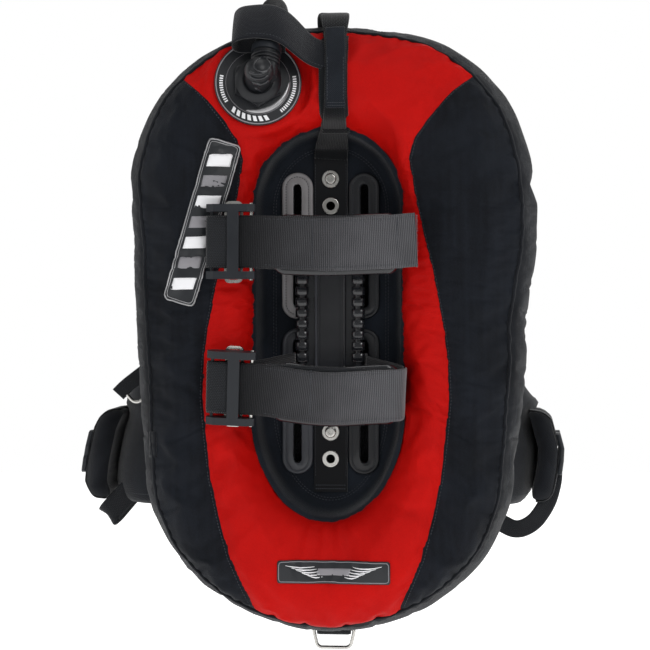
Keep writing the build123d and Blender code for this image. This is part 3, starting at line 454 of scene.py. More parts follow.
def stitches(name, points, normals, material, slot, body="root", pitch=3.6, long=2.3, thick=0.42, closed=False):
    """A row of thread stitches as small capsules lying on a surface, for points and outward normals in mm."""
    points = [Vector(p) for p in points]
    if closed:
        points.append(points[0])
        normals = list(normals) + [normals[0]]
    verts, faces = [], []
    travelled, want = 0.0, pitch / 2
    for i in range(len(points) - 1):
        a, b = points[i], points[i + 1]
        span = (b - a).length
        while span and travelled + span >= want:
            t = (want - travelled) / span
            centre, along = a.lerp(b, t), (b - a).normalized()
            up = Vector(normals[i]).lerp(Vector(normals[i + 1]), t).normalized()
            across = along.cross(up).normalized()
            base = len(verts)
            for place, size in ((-0.5, 0.35), (-0.28, 1.0), (0.28, 1.0), (0.5, 0.35)):
                for angle in (0, 60, 120, 180, 240, 300):
                    offset = across * cos(radians(angle)) + up * (0.75 * sin(radians(angle)))
                    verts.append(centre + along * (place * long) + offset * (thick * size))
            faces += quads(4, 6, base=base) + caps(4, 6, base=base)
            want += pitch
        travelled += span
    return piece(name, verts, faces, material, body)


def front_stitches(name, points, slot, **look):
    """Dark thread stitches at points in mm on a surface that faces the camera's side."""
    return stitches(name, points, [(0, -1, 0)] * len(points), THREAD, slot, **look)


def stadium(centre_x, centre_z, radius, straight, count, from_top=False):
    """Points x, z and outward directions, clockwise round an upright stadium from its left or its top."""
    out = []
    turn = pi * radius
    whole = 2 * turn + 2 * straight
    for i in range(count):
        place = (whole * i / count + (turn / 2 if from_top else 0)) % whole
        if place < turn:
            a = -pi / 2 + place / radius
            n, c = (sin(a), cos(a)), straight / 2
        elif place < turn + straight:
            n, c = (1, 0), straight / 2 - (place - turn)
        elif place < 2 * turn + straight:
            a = pi / 2 + (place - turn - straight) / radius
            n, c = (sin(a), cos(a)), -straight / 2
        else:
            n, c = (-1, 0), -straight / 2 + (place - 2 * turn - straight)
        out.append((centre_x + n[0] * radius, centre_z + c + n[1] * radius, n))
    return out


def tapered(count, step, full, less, run):
    """Widths along a line of points a step apart, less at both ends over a run."""
    widths = []
    for k in range(count):
        from_end = min(k, count - 1 - k) * step
        widths.append(full - less * (1 - smoothstep(0, run, from_end)))
    return widths


def webbing(name, points, side, width, thick, body="root", **more):
    """A strap of the plain black webbing."""
    return ribbon(name, points, side, width, thick, WEBBING, "webbing", body, **more)


# ---------------------------------------------------------------- hose
HOSE_ROUTE = [
    (-0.0615, -0.0945, -0.0480), (-0.0600, -0.0835, -0.0220), (-0.0590, -0.0616, -0.0019),
    (-0.0590, -0.0325, 0.0087), (-0.0610, 0.0054, 0.0061), (-0.0670, 0.0508, -0.0011),
    (-0.0790, 0.0989, -0.0149), (-0.0920, 0.1366, -0.0413), (-0.1050, 0.1612, -0.0778),
    (-0.1150, 0.1726, -0.1203), (-0.1210, 0.1749, -0.1642), (-0.1210, 0.1749, -0.2062),
]
BELLOWS_R, BELLOWS_DEPTH, BELLOWS_PITCH, CUFF = 13.7, 2.3, 4.4, 14
HOSE_STEP, HOSE_SIDES = 0.55, 36


def nurbs_line(name, route):
    """Points read from the smooth NURBS curve whose control points are the route."""
    curve = bpy.data.curves.new(name, "CURVE")
    curve.dimensions = "3D"
    curve.resolution_u = 40
    spline = curve.splines.new("NURBS")
    spline.points.add(len(route) - 1)
    for point, place in zip(spline.points, route):
        point.co = (*place, 1)
    spline.order_u = 3
    spline.use_endpoint_u = True
    holder = bpy.data.objects.new(name, curve)
    bpy.context.collection.objects.link(holder)
    mesh = bpy.data.meshes.new_from_object(holder)
    line = [v.co.copy() for v in mesh.vertices]
    bpy.data.objects.remove(holder)
    return line


def corrugated(name, line, material):
    """A bellows hose round a line in metres: even ribs with plain cuffs at both ends."""
    points = resample([p / MM for p in line], HOSE_STEP)
    total = HOSE_STEP * (len(points) - 1)
    radii = []
    for i in range(len(points)):
        place = HOSE_STEP * i
        in_bellows = smoothstep(CUFF, CUFF + 3, place) * smoothstep(CUFF, CUFF + 3, total - place)
        rib = 0.5 + 0.5 * cos(2 * pi * place / BELLOWS_PITCH)
        radii.append(BELLOWS_R - in_bellows * BELLOWS_DEPTH * (1 - rib**0.55))
    verts = round_rings(points, tangents(points), radii, Vector((1, 0, 0)), HOSE_SIDES)
    faces = quads(len(points), HOSE_SIDES) + caps(len(points), HOSE_SIDES)
    return piece(name, verts, faces, material)


hose_line = nurbs_line("hose_line", HOSE_ROUTE)
hose_tube = corrugated("hose_bellows", hose_line, HOSE)
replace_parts(hose_tube, "corrugated_hose")
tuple(HOSE_ROUTE[0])
[tuple(p) for p in hose_line]

# ---------------------------------------------------------------- air cell
WING_TOP, WING_BOTTOM, WING_HALF, WIDEST_Z = -14.0, -670.0, 219.5, -179.5
SHOULDER_R, SIDE_R = 159.0, 2400.0
FRONT_Y, BACK_Y = -75.0, 35.0
HOLE_R, HOLE_HIGH, HOLE_LOW = 79.5, -201.0, -470.0
HOLE_MID, HOLE_STRAIGHT = (HOLE_HIGH + HOLE_LOW) / 2, HOLE_HIGH - HOLE_LOW
TOP_SLACK, TOP_DROP = 8.0, 3.6
LOW_SLACK, LOW_RISE = 42.0, 2.2
VALVE_AT = Vector((-73.5, -66.0, -76.0))
VALVE_YAW, VALVE_RISE = radians(8), radians(10)
VALVE_AXIS = Vector((sin(VALVE_YAW) * cos(VALVE_RISE), -cos(VALVE_YAW) * cos(VALVE_RISE), sin(VALVE_RISE)))
DUMP_AT = Vector((-120.0, BACK_Y, -573.0))
SEAM = [
    (-60, 168), (-71, 155), (-85, 137), (-95, 127), (-116, 110), (-137, 95), (-159, 89), (-180, 92.5), (-202, 96),
    (-240, 105), (-277, 114.6), (-310, 121), (-342, 127), (-374, 131), (-416, 133), (-460, 129), (-503, 124),
    (-545, 115.5), (-589, 103.5), (-621, 90), (-645, 80), (-680, 70),
]


def arc_centres():
    """The four tangent arcs of one side of the outline, top to bottom: centre x, centre z, radius."""
    shoulder_x = WING_HALF - SHOULDER_R
    rise = WING_TOP - SHOULDER_R - WIDEST_Z
    top_r = (shoulder_x**2 + rise**2) / (2 * rise) + SHOULDER_R
    side_x = WING_HALF - SIDE_R
    drop = WIDEST_Z - WING_BOTTOM
    bottom_r = (side_x**2 + drop**2 - SIDE_R**2) / (2 * (drop - SIDE_R))
    return [(0, WING_TOP - top_r, top_r), (shoulder_x, WIDEST_Z, SHOULDER_R), (side_x, WIDEST_Z, SIDE_R),
            (0, WING_BOTTOM + bottom_r, bottom_r)]


ARCS = arc_centres()


def inside_outline(x, z):
    """Negative inside the outline and positive outside, in mm near the edge."""
    x = abs(x)
    (_, top_z, top_r), (shoulder_x, shoulder_z, shoulder_r), (side_x, side_z, side_r), (_, low_z, low_r) = ARCS
    if z > shoulder_z:
        on_top = x * (shoulder_z - top_z) < (z - top_z) * shoulder_x
        if on_top:
            return hypot(x, z - top_z) - top_r
        return hypot(x - shoulder_x, z - shoulder_z) - shoulder_r
    on_bottom = (x - side_x) * (low_z - side_z) > (z - side_z) * (0 - side_x)
    if on_bottom:
        return hypot(x, z - low_z) - low_r
    return hypot(x - side_x, z - side_z) - side_r


def ray_length(x, z, nx, nz):
    low, high = 0.0, 320.0
    for _ in range(26):
        middle = (low + high) / 2
        if inside_outline(x + nx * middle, z + nz * middle) < 0:
            low = middle
        else:
            high = middle
    return low


def eased(z, radius):
    """The opening's height after its upper end is drawn in and its lower end tapers."""
    if z > HOLE_HIGH:
        return HOLE_HIGH - TOP_SLACK + (z - HOLE_HIGH) / radius * (radius + TOP_SLACK - TOP_DROP)
    if z < HOLE_LOW:
        return HOLE_LOW + LOW_SLACK - (HOLE_LOW - z) / radius * (radius + LOW_SLACK - LOW_RISE)
    share = (z - HOLE_LOW) / (HOLE_HIGH - HOLE_LOW)
    return HOLE_LOW + LOW_SLACK + share * (HOLE_HIGH - HOLE_LOW - LOW_SLACK - TOP_SLACK)


# how far the finished outline sits to the right of the pattern's, as (z, left edge, right edge)
OUTLINE_DRIFT = [(0, 0, 0), (-20, 2, -1), (-44, 6.5, -4.5), (-90, 6, -4), (-135, 6.5, -4), (-177, 3.5, 0),
                 (-215, 4.5, 4.5), (-250, 6.5, 5), (-300, 5, 0), (-330, 4.4, -3), (-380, 4.4, 0), (-480, 0, 0),
                 (-540, -4, 3), (-590, -5.5, 5.5), (-640, -3.5, 3.5), (-665, 1, -4), (-720, 0, 0)]


def outline_drift(x, z):
    for (z0, a0, b0), (z1, a1, b1) in zip(OUTLINE_DRIFT, OUTLINE_DRIFT[1:]):
        if z0 >= z > z1:
            share = smoothstep(z0, z1, z)
            left, right = a0 + (a1 - a0) * share, b0 + (b1 - b0) * share
            return left + (right - left) * smoothstep(-60, 60, x)
    return 0.0


# points of one cut through the cell: along the front, the gusset, the back and the inner wall
FRONT_COUNT, GUSSET_COUNT, BACK_COUNT, WALL_COUNT = 44, 16, 20, 12
SECTION = FRONT_COUNT + GUSSET_COUNT + BACK_COUNT + WALL_COUNT
AROUND, LOOP = 420, 720


def lobe_section(length, inset):
    """One cut through the cell as (distance from the opening, y): front, gusset, back and inner wall."""
    a, b, power = length / 2, (BACK_Y - FRONT_Y) / 2, 2.75
    mid_y = (BACK_Y + FRONT_Y) / 2
    loop = []
    # the loop starts at the opening, runs over the front to the rim and back over the rear
    for i in range(LOOP):
        t = 2 * pi * i / LOOP
        c, s = cos(t), sin(t)
        radial = (abs(c) ** power + abs(s) ** power) ** (-1 / power)
        loop.append(Vector((a - a * radial * c, mid_y - b * radial * s)))

    def find(first, last, distance):
        return min(range(first, last), key=lambda k: abs(loop[k % LOOP].x - distance))

    inner = find(0, 170, 0.35)
    rim = find(180, 360, length - inset)
    back_rim = find(360, 540, length - 14)
    back_inner = find(540, LOOP, 4.0)
    spans = []
    for first, last, count in ((inner, rim, FRONT_COUNT), (rim, back_rim, GUSSET_COUNT),
                               (back_rim, back_inner, BACK_COUNT), (back_inner, inner + LOOP, WALL_COUNT)):
        path = [loop[k % LOOP] for k in range(first, last + 1)]
        lengths = [0.0]
        for p, q in zip(path, path[1:]):
            lengths.append(lengths[-1] + (q - p).length)
        k = 0
        for j in range(count):
            want = lengths[-1] * j / count
            while k < len(path) - 2 and lengths[k + 1] < want:
                k += 1
            share = (want - lengths[k]) / ((lengths[k + 1] - lengths[k]) or 1.0)
            spans.append(path[k].lerp(path[k + 1], share))
    return spans


def seam_x(z):
    """Half width of the red front panel at a height."""
    for (z0, x0), (z1, x1) in zip(SEAM, SEAM[1:]):
        if z >= z1:
            return x0 + (x1 - x0) * (z - z0) / (z1 - z0)
    return SEAM[-1][1]


# each valve: radii between which the flat seat fades out and the well under its moving part starts, and its depth
VALVE_SEAT, VALVE_WELL, VALVE_WELL_DEPTH = (50, 60), (20, 33), 15
DUMP_SEAT, DUMP_WELL, DUMP_WELL_DEPTH = (31, 46), (16, 28), 14


def seat(p):
    """Presses a point of the cell onto the flat seats of the two valves, with wells for their moving parts."""
    offset = p - VALVE_AT
    height = offset.dot(VALVE_AXIS)
    spread = (offset - VALVE_AXIS * height).length
    if height > -45 and p.y < -20:
        p = p - VALVE_AXIS * ((height + 0.5) * (1 - smoothstep(*VALVE_SEAT, spread)))
        p = p - VALVE_AXIS * VALVE_WELL_DEPTH * (1 - smoothstep(*VALVE_WELL, spread))
    spread = hypot(p.x - DUMP_AT.x, p.z - DUMP_AT.z)
    if p.y > 0:
        p.y += (BACK_Y - 0.3 - p.y) * (1 - smoothstep(*DUMP_SEAT, spread))
        p.y -= DUMP_WELL_DEPTH * (1 - smoothstep(*DUMP_WELL, spread))
    return p


def wing_grid():
    """The whole air cell as a closed grid of points, section by section."""
    grid = []
    for x, z, (nx, nz) in stadium(0, HOLE_MID, HOLE_R, HOLE_STRAIGHT, AROUND, from_top=True):
        length = ray_length(x, z, nx, nz)
        steep = abs(atan2(x + nx * length, (z + nz * length) + 330))
        side = abs(sin(steep))
        inset = 4.5 + 9.0 * side**2
        drop = eased(z, HOLE_R) - z
        drift = outline_drift(x + nx * length, z + nz * length)
        row = []
        for p in lobe_section(length, inset):
            near = 1 - smoothstep(0, 0.8 * length, p.x)
            far = smoothstep(0.1 * length, 0.9 * length, p.x)
            row.append(Vector((x + nx * p.x + drift * far, p.y, z + nz * p.x + drop * near)))
        grid.append(row)
    return grid


grid = wing_grid()
wing_faces = quads(AROUND, SECTION, wrap_rows=True, flip=True)
surface = BVHTree.FromPolygons([p for row in grid for p in row], wing_faces)


def is_side(p):
    return abs(p.x) > seam_x(p.z) and p.z < -66


# vertices next to the panel seam are slid along the surface onto it
side_flag = []
for i in range(AROUND):
    k = (i + 1) % AROUND
    for j in range(FRONT_COUNT):
        middle = (grid[i][j] + grid[k][j] + grid[k][j + 1] + grid[i][j + 1]) / 4
        side_flag.append(is_side(middle))
seam_points = set()
for i in range(AROUND):
    k = (i + 1) % AROUND
    for j in range(FRONT_COUNT):
        here = side_flag[i * FRONT_COUNT + j]
        if j + 1 < FRONT_COUNT and side_flag[i * FRONT_COUNT + j + 1] != here:
            seam_points.update(((i, j + 1), (k, j + 1)))
        if side_flag[k * FRONT_COUNT + j] != here:
            seam_points.update(((k, j), (k, j + 1)))
for i, j in seam_points:
    p = grid[i][j]
    if 0 < j < FRONT_COUNT:
        slope = (seam_x(p.z + 1) - seam_x(p.z - 1)) / 2
        step = (seam_x(p.z) - abs(p.x)) / (1 + slope**2)
        x, z = (1 if p.x > 0 else -1) * (abs(p.x) + step), p.z - slope * step
        hit = surface.ray_cast(Vector((x, -300, z)), Vector((0, 1, 0)))[0]
        if hit is not None and (hit - p).length < 6:
            grid[i][j] = hit

# the sewn rows: opening, rim, back rim and the back's inner edge
SEAM_ROWS = (0, FRONT_COUNT, FRONT_COUNT + GUSSET_COUNT, FRONT_COUNT + GUSSET_COUNT + BACK_COUNT)
flat = [seat(p) for row in grid for p in row]


def materials_of_wing(mesh):
    """Red in the middle of the front, black at its sides, and the edge cloth everywhere else."""
    for index, polygon in enumerate(mesh.polygons):
        i, j = divmod(index, SECTION)
        if j < FRONT_COUNT:
            polygon.material_index = 1 if side_flag[i * FRONT_COUNT + j] else 0
        else:
            polygon.material_index = 2


CLOTH_SETTINGS = {"quality": 4, "mass": 0.25, "tension_stiffness": 22, "compression_stiffness": 12,
                  "bending_stiffness": 0.6, "tension_damping": 12, "air_damping": 4, "use_pressure": True}


def smooth_cloth(obj, pinned, frames, pressure, cap, shrink):
    """Inflates obj as cloth held along pinned vertices, with its movement capped, and keeps the result."""
    start = [v.co.copy() for v in obj.data.vertices]
    group = obj.vertex_groups.new(name="held")
    for index, weight in pinned:
        group.add([index], weight, "REPLACE")
    cloth = obj.modifiers.new("cloth", "CLOTH")
    for key, value in CLOTH_SETTINGS.items():
        setattr(cloth.settings, key, value)
    cloth.settings.uniform_pressure_force = pressure
    cloth.settings.shrink_min = shrink
    cloth.settings.effector_weights.gravity = 0
    if pinned:
        cloth.settings.vertex_group_mass = "held"
        cloth.settings.pin_stiffness = 2
    cloth.collision_settings.use_collision = False
    cloth.point_cache.frame_start = 1
    cloth.point_cache.frame_end = frames
    for f in range(1, frames + 1):
        bpy.context.scene.frame_set(f)
    dg = bpy.context.evaluated_depsgraph_get()
    puffed = [v.co.copy() for v in obj.evaluated_get(dg).data.vertices]
    obj.modifiers.remove(cloth)
    bpy.context.scene.frame_set(1)
    for vertex, a, b in zip(obj.data.vertices, start, puffed):
        move = b - a
        if move.length > cap * MM:
            move *= cap * MM / move.length
        vertex.co = a + move
    obj.vertex_groups.clear()
    obj.data.update()


wing = piece("air_cell", flat, wing_faces, [RED, SIDE_BLACK, EDGE_BLACK])
materials_of_wing(wing.data)
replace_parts(wing, "wing_shell", "wing_bladder")


def seam_distance(j, p):
    """Distance in mm from the nearest sewn line of the front."""
    row = min(j * 3.0, (FRONT_COUNT - j) * 3.0) if j <= FRONT_COUNT else 40.0
    side = abs(abs(p.x) - seam_x(p.z)) if j <= FRONT_COUNT and p.z < -60 else 60.0
    return min(row, side * 0.9)


# straight creases of the front, as (x0, z0, x1, z1, width, depth)
CREASES = [(64, -524, 112, -546, 4.5, 1.6), (84, -536, 124, -530, 4.0, 1.0), (-90, -512, -122, -540, 5.0, 1.2),
           (-96, -452, -124, -458, 4.0, 1.1), (104, -310, 86, -350, 5.0, 1.2), (112, -352, 90, -372, 4.0, 1.0),
           (128, -470, 168, -520, 6.0, 1.3), (-140, -452, -176, -500, 6.0, 1.2), (118, -150, 158, -190, 6.0, 1.0),
           (-128, -420, -160, -396, 5.0, 1.0), (60, -110, 96, -92, 6.0, 1.1), (30, -560, 48, -596, 4.0, 1.2)]


def wrinkle(i, j, p):
    """Height in mm of the creases and puckers of the cloth at one grid vertex."""
    around = i / AROUND
    d = seam_distance(j, p)
    broad = noise.noise(Vector((p.x * 0.011, p.y * 0.011 + 7, p.z * 0.011))) * 2.2
    folds = noise.noise(Vector((p.x * 0.03 + 3, p.y * 0.02, p.z * 0.012)))
    sharp = -abs(folds) * 1.6 + 0.6
    pucker = noise.noise(Vector((around * 190, j * 0.12, 1.7))) * 1.5 * exp(-d / 9.0)
    ditch = -1.5 * exp(-((d / 2.6) ** 2))
    low = 0.0
    if p.z < -520 and p.y < 0 and abs(p.x) < 150:
        ray = atan2(p.x, -(p.z + 470))
        reach = smoothstep(520, 565, -p.z)
        low = 1.3 * reach * exp(-max(0.0, -p.z - 565) / 55) * noise.noise(Vector((ray * 13, 2.0, 9.1)))
    if p.y < 0 and p.z < -500:
        ray, away = atan2(p.x + 2, -(p.z + 470)), hypot(p.x + 2, p.z + 470)
        window = smoothstep(78, 88, away) * (1 - smoothstep(104, 134, away))
        low += 1.15 * window * exp(-((ray / 0.36) ** 2)) * cos(2 * pi * ray / 0.178)
    for x0, z0, x1, z1, wide, deep in CREASES:
        if p.y < 0:
            along = ((p.x - x0) * (x1 - x0) + (p.z - z0) * (z1 - z0)) / ((x1 - x0) ** 2 + (z1 - z0) ** 2)
            off = hypot(p.x - x0 - along * (x1 - x0), p.z - z0 - along * (z1 - z0))
            fade = smoothstep(-0.15, 0.25, along) * (1 - smoothstep(0.6, 1.15, along))
            low -= deep * fade * exp(-((off / wide) ** 2))
    calm = smoothstep(52, 70, (p - VALVE_AT).length) * smoothstep(34, 50, (p - DUMP_AT).length)
    return (broad * smoothstep(0, 18, d) + sharp * smoothstep(2, 14, d) * 0.6 + pucker + low * 1.6) * calm + ditch


def dress_wing(obj):
    obj.data.update()
    normals = [v.normal.copy() for v in obj.data.vertices]
    for index, vertex in enumerate(obj.data.vertices):
        i, j = divmod(index, SECTION)
        p = vertex.co / MM
        vertex.co = vertex.co + normals[index] * (wrinkle(i, j, p) - 0.8) * MM
        q = vertex.co / MM
        vertex.co = seat(q) * MM
    obj.data.update()


held = []
for i in range(AROUND):
    for j in range(SECTION):
        p = flat[i * SECTION + j]
        near_seat = (p - VALVE_AT).length < 56 or (p - DUMP_AT).length < 40
        if j in SEAM_ROWS or near_seat:
            held.append((i * SECTION + j, 1.0))
        elif (i, j) in seam_points:
            held.append((i * SECTION + j, 0.6))
smooth_cloth(wing, held, 12, 3.0, 5.0, -0.03)
dress_wing(wing)
wing_verts = [v.co / MM for v in wing.data.vertices]
wing_surface = BVHTree.FromPolygons(wing_verts, wing_faces)


def on_wing(x, z, lift=0.0):
    """The point of the cell's front face at x, z, lifted off it, and the outward direction there."""
    hit, normal = wing_surface.ray_cast(Vector((x, -300, z)), Vector((0, 1, 0)))[:2]
    if hit is None:
        return Vector((x, FRONT_Y, z)), Vector((0, -1, 0))
    if normal.y > 0:
        normal = -normal
    return hit + normal * lift, normal


def grid_line(column):
    """One lengthwise line of the finished cell, with outward normals."""
    points = [wing.data.vertices[i * SECTION + column].co / MM for i in range(AROUND)]
    normals = [wing.data.vertices[i * SECTION + column].normal.copy() for i in range(AROUND)]
    return points, normals


def edging(name, column, lift, radius, look):
    """A cord of piping along one lengthwise line of the cell."""
    line = [p + n * lift for p, n in zip(*grid_line(column))]
    tube(name, line, radius, look, closed=True)


edging("rim_piping", FRONT_COUNT, 0.9, 1.9, EDGE_BLACK)
edging("back_piping", FRONT_COUNT + GUSSET_COUNT, 0.7, 1.7, EDGE_BLACK)
for column, label in ((FRONT_COUNT + 3, "rim"), (FRONT_COUNT + GUSSET_COUNT - 2, "back")):
    line, ups = grid_line(column)
    stitches(f"gusset_stitches_{label}", line, ups, THREAD, "black_fabric", closed=True)
edging("opening_binding", 0, 0.2, 1.5, PANEL_BLACK)
for side in (-1, 1):
    heights = [-74 - 2.4 * k for k in range(245)]
    run = [on_wing(side * (seam_x(z) + 2.6), z, 0.15) for z in heights]
    run = [r for r in run if r[0].y < -40]
    points, normals = zip(*run)
    stitches(f"panel_stitches_{side_name(side)}", points, normals, THREAD, "black_fabric")

# ---------------------------------------------------------------- centre panel
def stadium_rings(name, centre_x, centre_z, straight, profile, count, material):
    """Lofted rings round an upright stadium; profile is (radius, y) pairs from inside to outside."""
    verts = []
    for radius, y in profile:
        for x, z, _ in stadium(centre_x, centre_z, radius, straight, count):
            verts.append((x, y, z))
    return piece(name, verts, quads(len(profile), count), material)


# the cloth dish between the air cell's opening and the flat panel
dish = [(60, -0.35), (65, -0.5), (69.5, -1.6), (73, -5), (75.5, -11), (77, -18), (78.2, -27), (78.9, -36),
        (80.5, -41), (84.5, -43)]
verts = []
for radius, y in dish:
    for x, z, n in stadium(0, HOLE_MID, radius, HOLE_STRAIGHT, 300):
        ripple = 0.9 * noise.noise(Vector((x * 0.05, z * 0.05, radius * 0.08))) * smoothstep(62, 74, radius)
        verts.append((x - n[0] * ripple, y - abs(ripple) * 0.6, eased(z, radius) - n[1] * ripple))
piece("opening_lining", verts, quads(len(dish), 300), PANEL_BLACK)
for radius, label in ((63.5, "inner"), (60.8, "outer")):
    ring = stadium(0, HOLE_MID, radius, HOLE_STRAIGHT, 400)
    front_stitches(f"lining_stitches_{label}", [(x, -0.55, eased(z, radius)) for x, z, _ in ring],
                   "black_fabric", closed=True)

# moulded surrounds of the four slots, with a raised bead and a stitched channel
SLOT_X, SLOT_STRAIGHT = 37, 127.0
SURROUND = [(4.6, -0.2), (4.6, -3.3), (5.2, -3.7), (11.2, -3.75), (12.0, -3.35), (13.0, -3.35), (13.8, -3.9),
            (15.8, -3.95), (17.0, -3.2), (17.4, -0.2)]
for side in (-1, 1):
    for z in (-250.0, -422.0):
        level = "upper" if z > -300 else "lower"
        name = f"slot_surround_{level}_{side_name(side)}"
        # painted reflection: the left surrounds are paler copies of the trim rubber, the upper one palest, for the
        # light they reflect; the right ones keep the plain trim
        pale = TRIM if side > 0 else TRIM_PAINTED_REFLECTION if z > -300 else TRIM_PAINTED_HIGHLIGHT
        obj = stadium_rings(name, side * SLOT_X, z, SLOT_STRAIGHT, SURROUND, 160, pale)
        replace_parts(obj, "slot_trim_rings")
        ring = stadium(side * SLOT_X, z, 12.5, SLOT_STRAIGHT, 200)
        front_stitches(f"{name}_stitches", [(x, -3.5, zz) for x, zz, _ in ring], "trim_plastic", pitch=3.0,
                       long=1.9, thick=0.4, closed=True)

# the centre strip's end is sewn down with a boxed row
for z in (-514.5, -518.5):
    front_stitches(f"strip_stitches_{int(-z)}", [(x, -2.65, z) for x in range(-17, 18, 2)], "black_fabric",
                   pitch=2.4, long=1.9, thick=0.6)
for x in (-17, 17):
    front_stitches(f"strip_side_stitches_{side_name(x)}", [(x, -2.6, z) for z in range(-505, -160, 4)],
                   "black_fabric", pitch=3.2, long=2.2, thick=0.3)

# rounded glossy rungs over the ribs of the two columns of the cylinder cradle
RUNG_PITCH, RUNG_MID, RUNG_X, RUNG_Y, SQUARENESS = 12.2, -312.0, 31.0, -9.8, 3.4
for side, label in ((-1, "left"), (1, "right")):
    verts, faces = [], []
    around = 32
    for k in range(-5, 6):
        base = len(verts)
        for dz, radius in ((4.7, 6.2), (4.5, 6.9), (3.9, 7.3), (-3.9, 7.3), (-4.5, 6.9), (-4.7, 6.2)):
            for j in range(around):
                a = 2 * pi * j / around
                reach = radius * (abs(cos(a)) ** SQUARENESS + abs(sin(a)) ** SQUARENESS) ** (-1 / SQUARENESS)
                verts.append((side * RUNG_X + reach * cos(a), RUNG_Y + reach * sin(a),
                              RUNG_MID + k * RUNG_PITCH + dz))
        faces += quads(6, around, base=base) + caps(6, around, flip=True, base=base)
    piece(f"cradle_rungs_{label}", verts, faces, CRADLE_GLOSS)
    # painted highlight: the left rail takes the paler trim colour for the bright line of light along it; the right
    # rail keeps the plain gloss
    tube(f"cradle_rail_{label}", [(side * 15.6, -9.6, z) for z in range(-386, -236, 6)], 1.6,
         TRIM_PAINTED_HIGHLIGHT if side < 0 else CRADLE_GLOSS)

# ---------------------------------------------------------------- carrying handle
handle_path = [(0, -3.9, -155), (0.3, -4.2, -150), (1.5, -7, -144), (6, -38, -126), (11, -79, -108),
               (12, -81, -72), (12, -80, -38), (10.5, -68, -14), (8.5, -49, 0.5), (4, -22, 1.8),
               (0, 8, 1.5), (-1, 32, -14), (0, 40.5, -36), (0, 40.5, -100), (0, 22, -126), (0, 13.5, -140),
               (0, 13.5, -152)]
handle_line = rounded(handle_path, 26, 3.0)
WIDE_FOOT, GRIP_WIDE, TOP_WIDE, REAR_WIDE = 37, 23.5, 31.5, 32
handle_width = []
for p in handle_line:
    if p.y >= 0:
        handle_width.append(REAR_WIDE)
    elif p.z < -100:
        handle_width.append(WIDE_FOOT + (GRIP_WIDE - WIDE_FOOT) * smoothstep(-150, -106, p.z))
    else:
        handle_width.append(GRIP_WIDE + (TOP_WIDE - GRIP_WIDE) * smoothstep(-30, 0, p.z))
handle = ribbon("handle_webbing", handle_line, (1, 0, 0), handle_width, 3.0, HANDLE_WEBBING, "webbing", wave=0.5,
                cells=14)
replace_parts(handle, "carrying_handle")
backing = [on_wing(9.0, z, 0.9)[0] for z in range(-12, -121, -4)]
backing += [Vector((9, -46, -127.5)), Vector((9, -28, -128))]
ribbon("handle_backing", backing, (1, 0, 0), 31, 1.6, HANDLE_WEBBING, "webbing", cells=12)
grip_path = [(11.8, -84.0, -104), (12, -84.2, -72), (12, -83.6, -40), (10.8, -73.5, -17)]
grip = ribbon("handle_sleeve", rounded(grip_path, 24, 2.0), (1, 0, 0), 21.0, 2.8, GRIP_CLOTH, "webbing", wave=0.3,
              cells=14)
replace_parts(grip, "handle_grip")
for z in (-101.5, -98.5):
    front_stitches(f"sleeve_stitches_{int(-z)}", [(x, -85.6, z) for x in range(3, 22, 3)], "webbing", pitch=2.4,
                   long=1.8)
for dx in (-8.6, 8.6):
    front_stitches(f"sleeve_side_{side_name(dx)}", [(11.9 + dx, -85.6, z) for z in range(-96, -44, 4)], "webbing")


# ---------------------------------------------------------------- patches
def patch_frame(centre, angle):
    """Unit directions across and up a patch that is turned by angle in the front view."""
    a = radians(angle)
    return Vector((cos(a), 0, sin(a))), Vector((-sin(a), 0, cos(a))), Vector((centre[0], 0, centre[1]))


def laid_patch(name, outline, centre, angle, lift, material, edge=0.5):
    """A thin plate cut to an outline in its own plane, laid over the cell's front, its rim lower by edge."""
    right, up, middle = patch_frame(centre, angle)
    bm = bmesh.new()
    corners = [bm.verts.new((u, v, 0)) for u, v in outline]
    bm.faces.new(corners)
    bmesh.ops.triangulate(bm, faces=bm.faces[:])
    for _ in range(5):
        long_edges = [e for e in bm.edges if e.calc_length() > 5.0]
        if not long_edges:
            break
        bmesh.ops.subdivide_edges(bm, edges=long_edges, cuts=1)
        bmesh.ops.triangulate(bm, faces=bm.faces[:])
    bm.verts.ensure_lookup_table()
    rim = {v.index for e in bm.edges if e.is_boundary for v in e.verts}
    bm.verts.index_update()
    tops, lows = [], []
    for v in bm.verts:
        place = middle + right * v.co.x + up * v.co.y
        base, normal = on_wing(place.x, place.z)
        tops.append(base + normal * (lift + (0 if v.index in rim else edge)))
        lows.append(base + normal * (lift - 1.4))
    count = len(tops)
    faces = [[v.index for v in f.verts] for f in bm.faces]
    all_faces = faces + [[count + k for k in reversed(f)] for f in faces]
    for e in bm.edges:
        if e.is_boundary:
            f = e.link_faces[0]
            order = [v.index for v in f.verts]
            a, b = e.verts[0].index, e.verts[1].index
            if order[(order.index(a) + 1) % 3] != b:
                a, b = b, a
            all_faces.append([b, a, count + a, count + b])
    bm.free()
    return piece(name, tops + lows, all_faces, material)


def rounded_box(width, height, corner, steps=5):
    out = []
    for cx, cy, start in ((1, 1, 0), (-1, 1, 90), (-1, -1, 180), (1, -1, 270)):
        for k in range(steps + 1):
            a = radians(start + 90 * k / steps)
            out.append((cx * (width / 2 - corner) + corner * cos(a),
                        cy * (height / 2 - corner) + corner * sin(a)))
    return out


SIDE_AT, SIDE_TURN = (-133.2, -225.4), -16.2
side_patch = laid_patch("side_patch_base", rounded_box(35, 182, 6), SIDE_AT, SIDE_TURN, 1.4, PATCH_BLACK)
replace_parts(side_patch, "side_patch")


def patch_rim(name, width, height, corner, centre, angle, lift, radius, material):
    right, up, middle = patch_frame(centre, angle)
    points = []
    outline = [Vector((u, v, 0)) for u, v in rounded_box(width, height, corner)]
    for q in resample(outline + [outline[0]], 3.0)[:-1]:
        place = middle + right * q.x + up * q.y
        points.append(on_wing(place.x, place.z, lift)[0])
    tube(name, points, radius, material, closed=True, sides=8)


